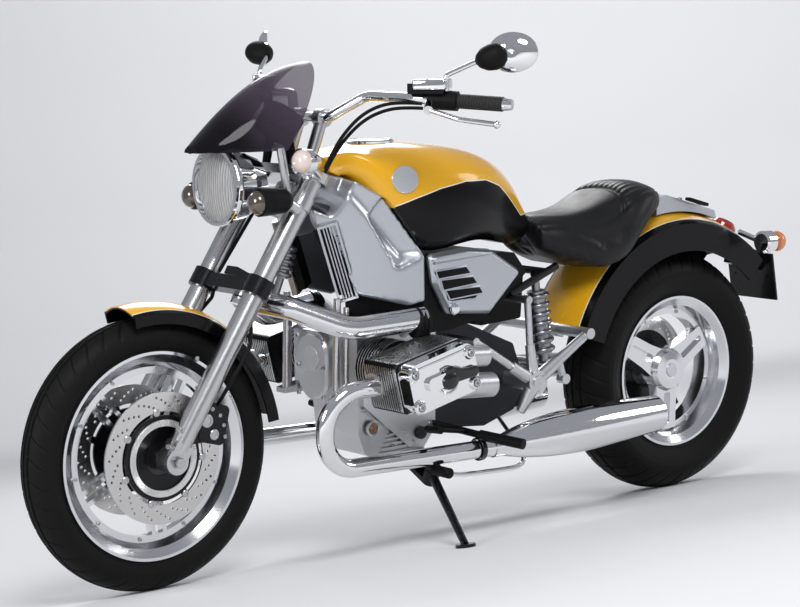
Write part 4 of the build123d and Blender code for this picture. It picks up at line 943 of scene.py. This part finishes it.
# ---- Foot controls and side stand
# Black pegs and levers on cast arms, a rubber-tipped gear pedal with its chromed rod, and a
# black side stand with a wide foot.
dress(black_gloss, "side_stand", "stand_bracket")
dress(moulded, "footpegs")
toe = lathe([(0, -30), (10, -30), (13, -27), (13, 27), (10, 30), (0, 30)], 24)
fit("toe_rubber", toe, rubber, "chassis", [stand((966, 236, 214), (0, 1, 0))])
SHIFT_ROD = [
    (966, 236, 214), (938, 233, 199), (800, 234, 192), (700, 226, 188),
    (664, 188, 212), (652, 120, 250), (648, 66, 290),
]
fit("shift_rod", routed(SHIFT_ROD, 6), chrome, "chassis")


# ---- Seat
# One hide cover over a moulded foam base, drawn tight at its edge: a smooth hollow for
# sitting and a ribbed, rising back.
hide = Finish("black_hide", Base_Color=(0.007, 0.007, 0.008, 1))
pores = hide.noise(1500.0, 5.0)
hide.give(Roughness=0.32 + 0.2 * hide.noise(35.0)).bump(pores, 0.0003, 0.5)
hide.give(Specular_IOR_Level=0.3)
WIDTHS = [(505, 84), (440, 122), (370, 144), (290, 154), (210, 152), (140, 132), (76, 84)]


def half_width(x):
    """The seat's half width at a place along it."""
    for (ahead, wide), (behind, narrow) in zip(WIDTHS, WIDTHS[1:]):
        if x >= behind:
            return wide + (narrow - wide) * min(max((ahead - x) / (ahead - behind), 0), 1)
    return WIDTHS[-1][1]


SWELL_PRESSURE = 4
SWELL_FRAMES = 20
SWELL_LIMIT = 8.0
RIB_PITCH = 19
RIB_DEPTH = 3.0
cushion = softened("seat", 5.0, 10)
cushion.normal_update()
for vert in cushion.verts:
    vert.co -= vert.normal * 3.0
start = [vert.co.copy() for vert in cushion.verts]
bmesh.ops.scale(cushion, vec=(0.001, 0.001, 0.001), verts=cushion.verts)
mesh = bpy.data.meshes.new("swollen")
cushion.to_mesh(mesh)
swollen = bpy.data.objects.new("swollen", mesh)
bpy.context.scene.collection.objects.link(swollen)
cloth = swollen.modifiers.new("swell", "CLOTH")
cloth.settings.use_pressure = True
cloth.settings.uniform_pressure_force = SWELL_PRESSURE
cloth.settings.effector_weights.gravity = 0
for number in range(1, SWELL_FRAMES + 1):
    bpy.context.scene.frame_set(number)
result = swollen.evaluated_get(bpy.context.evaluated_depsgraph_get()).to_mesh()
for vert, before, after in zip(cushion.verts, start, result.vertices):
    moved = after.co * 1000 - before
    vert.co = before + moved.normalized() * min(moved.length, SWELL_LIMIT)
bpy.data.objects.remove(swollen)
bpy.context.scene.frame_set(1)
cushion.normal_update()
for vert in cushion.verts:
    x, y, z = vert.co
    if vert.normal.z > 0.05:
        seam = abs(y) - 0.80 * half_width(x)
        crease = x - 221 - 33 * (y / 140) ** 2
        groove = 3.2 * exp(-((seam / 5) ** 2)) + 8 * exp(-((crease / 8) ** 2)) * (1 - step(seam, 0, 8))
        fold = 0.5 + 0.5 * cos(2 * pi * y / RIB_PITCH)
        gathers = fold * step(-crease, 2, 12) * exp(crease / 50) * (1 - step(seam, -12, 0))
        vert.co -= vert.normal * (groove + RIB_DEPTH * gathers)
hide_cover = fit("seat_cushion", cushion, hide, "chassis", sharp=80)
finer = hide_cover.modifiers.new("finer", "SUBSURF")
finer.levels = finer.render_levels = 1
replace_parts(hide_cover, "seat")
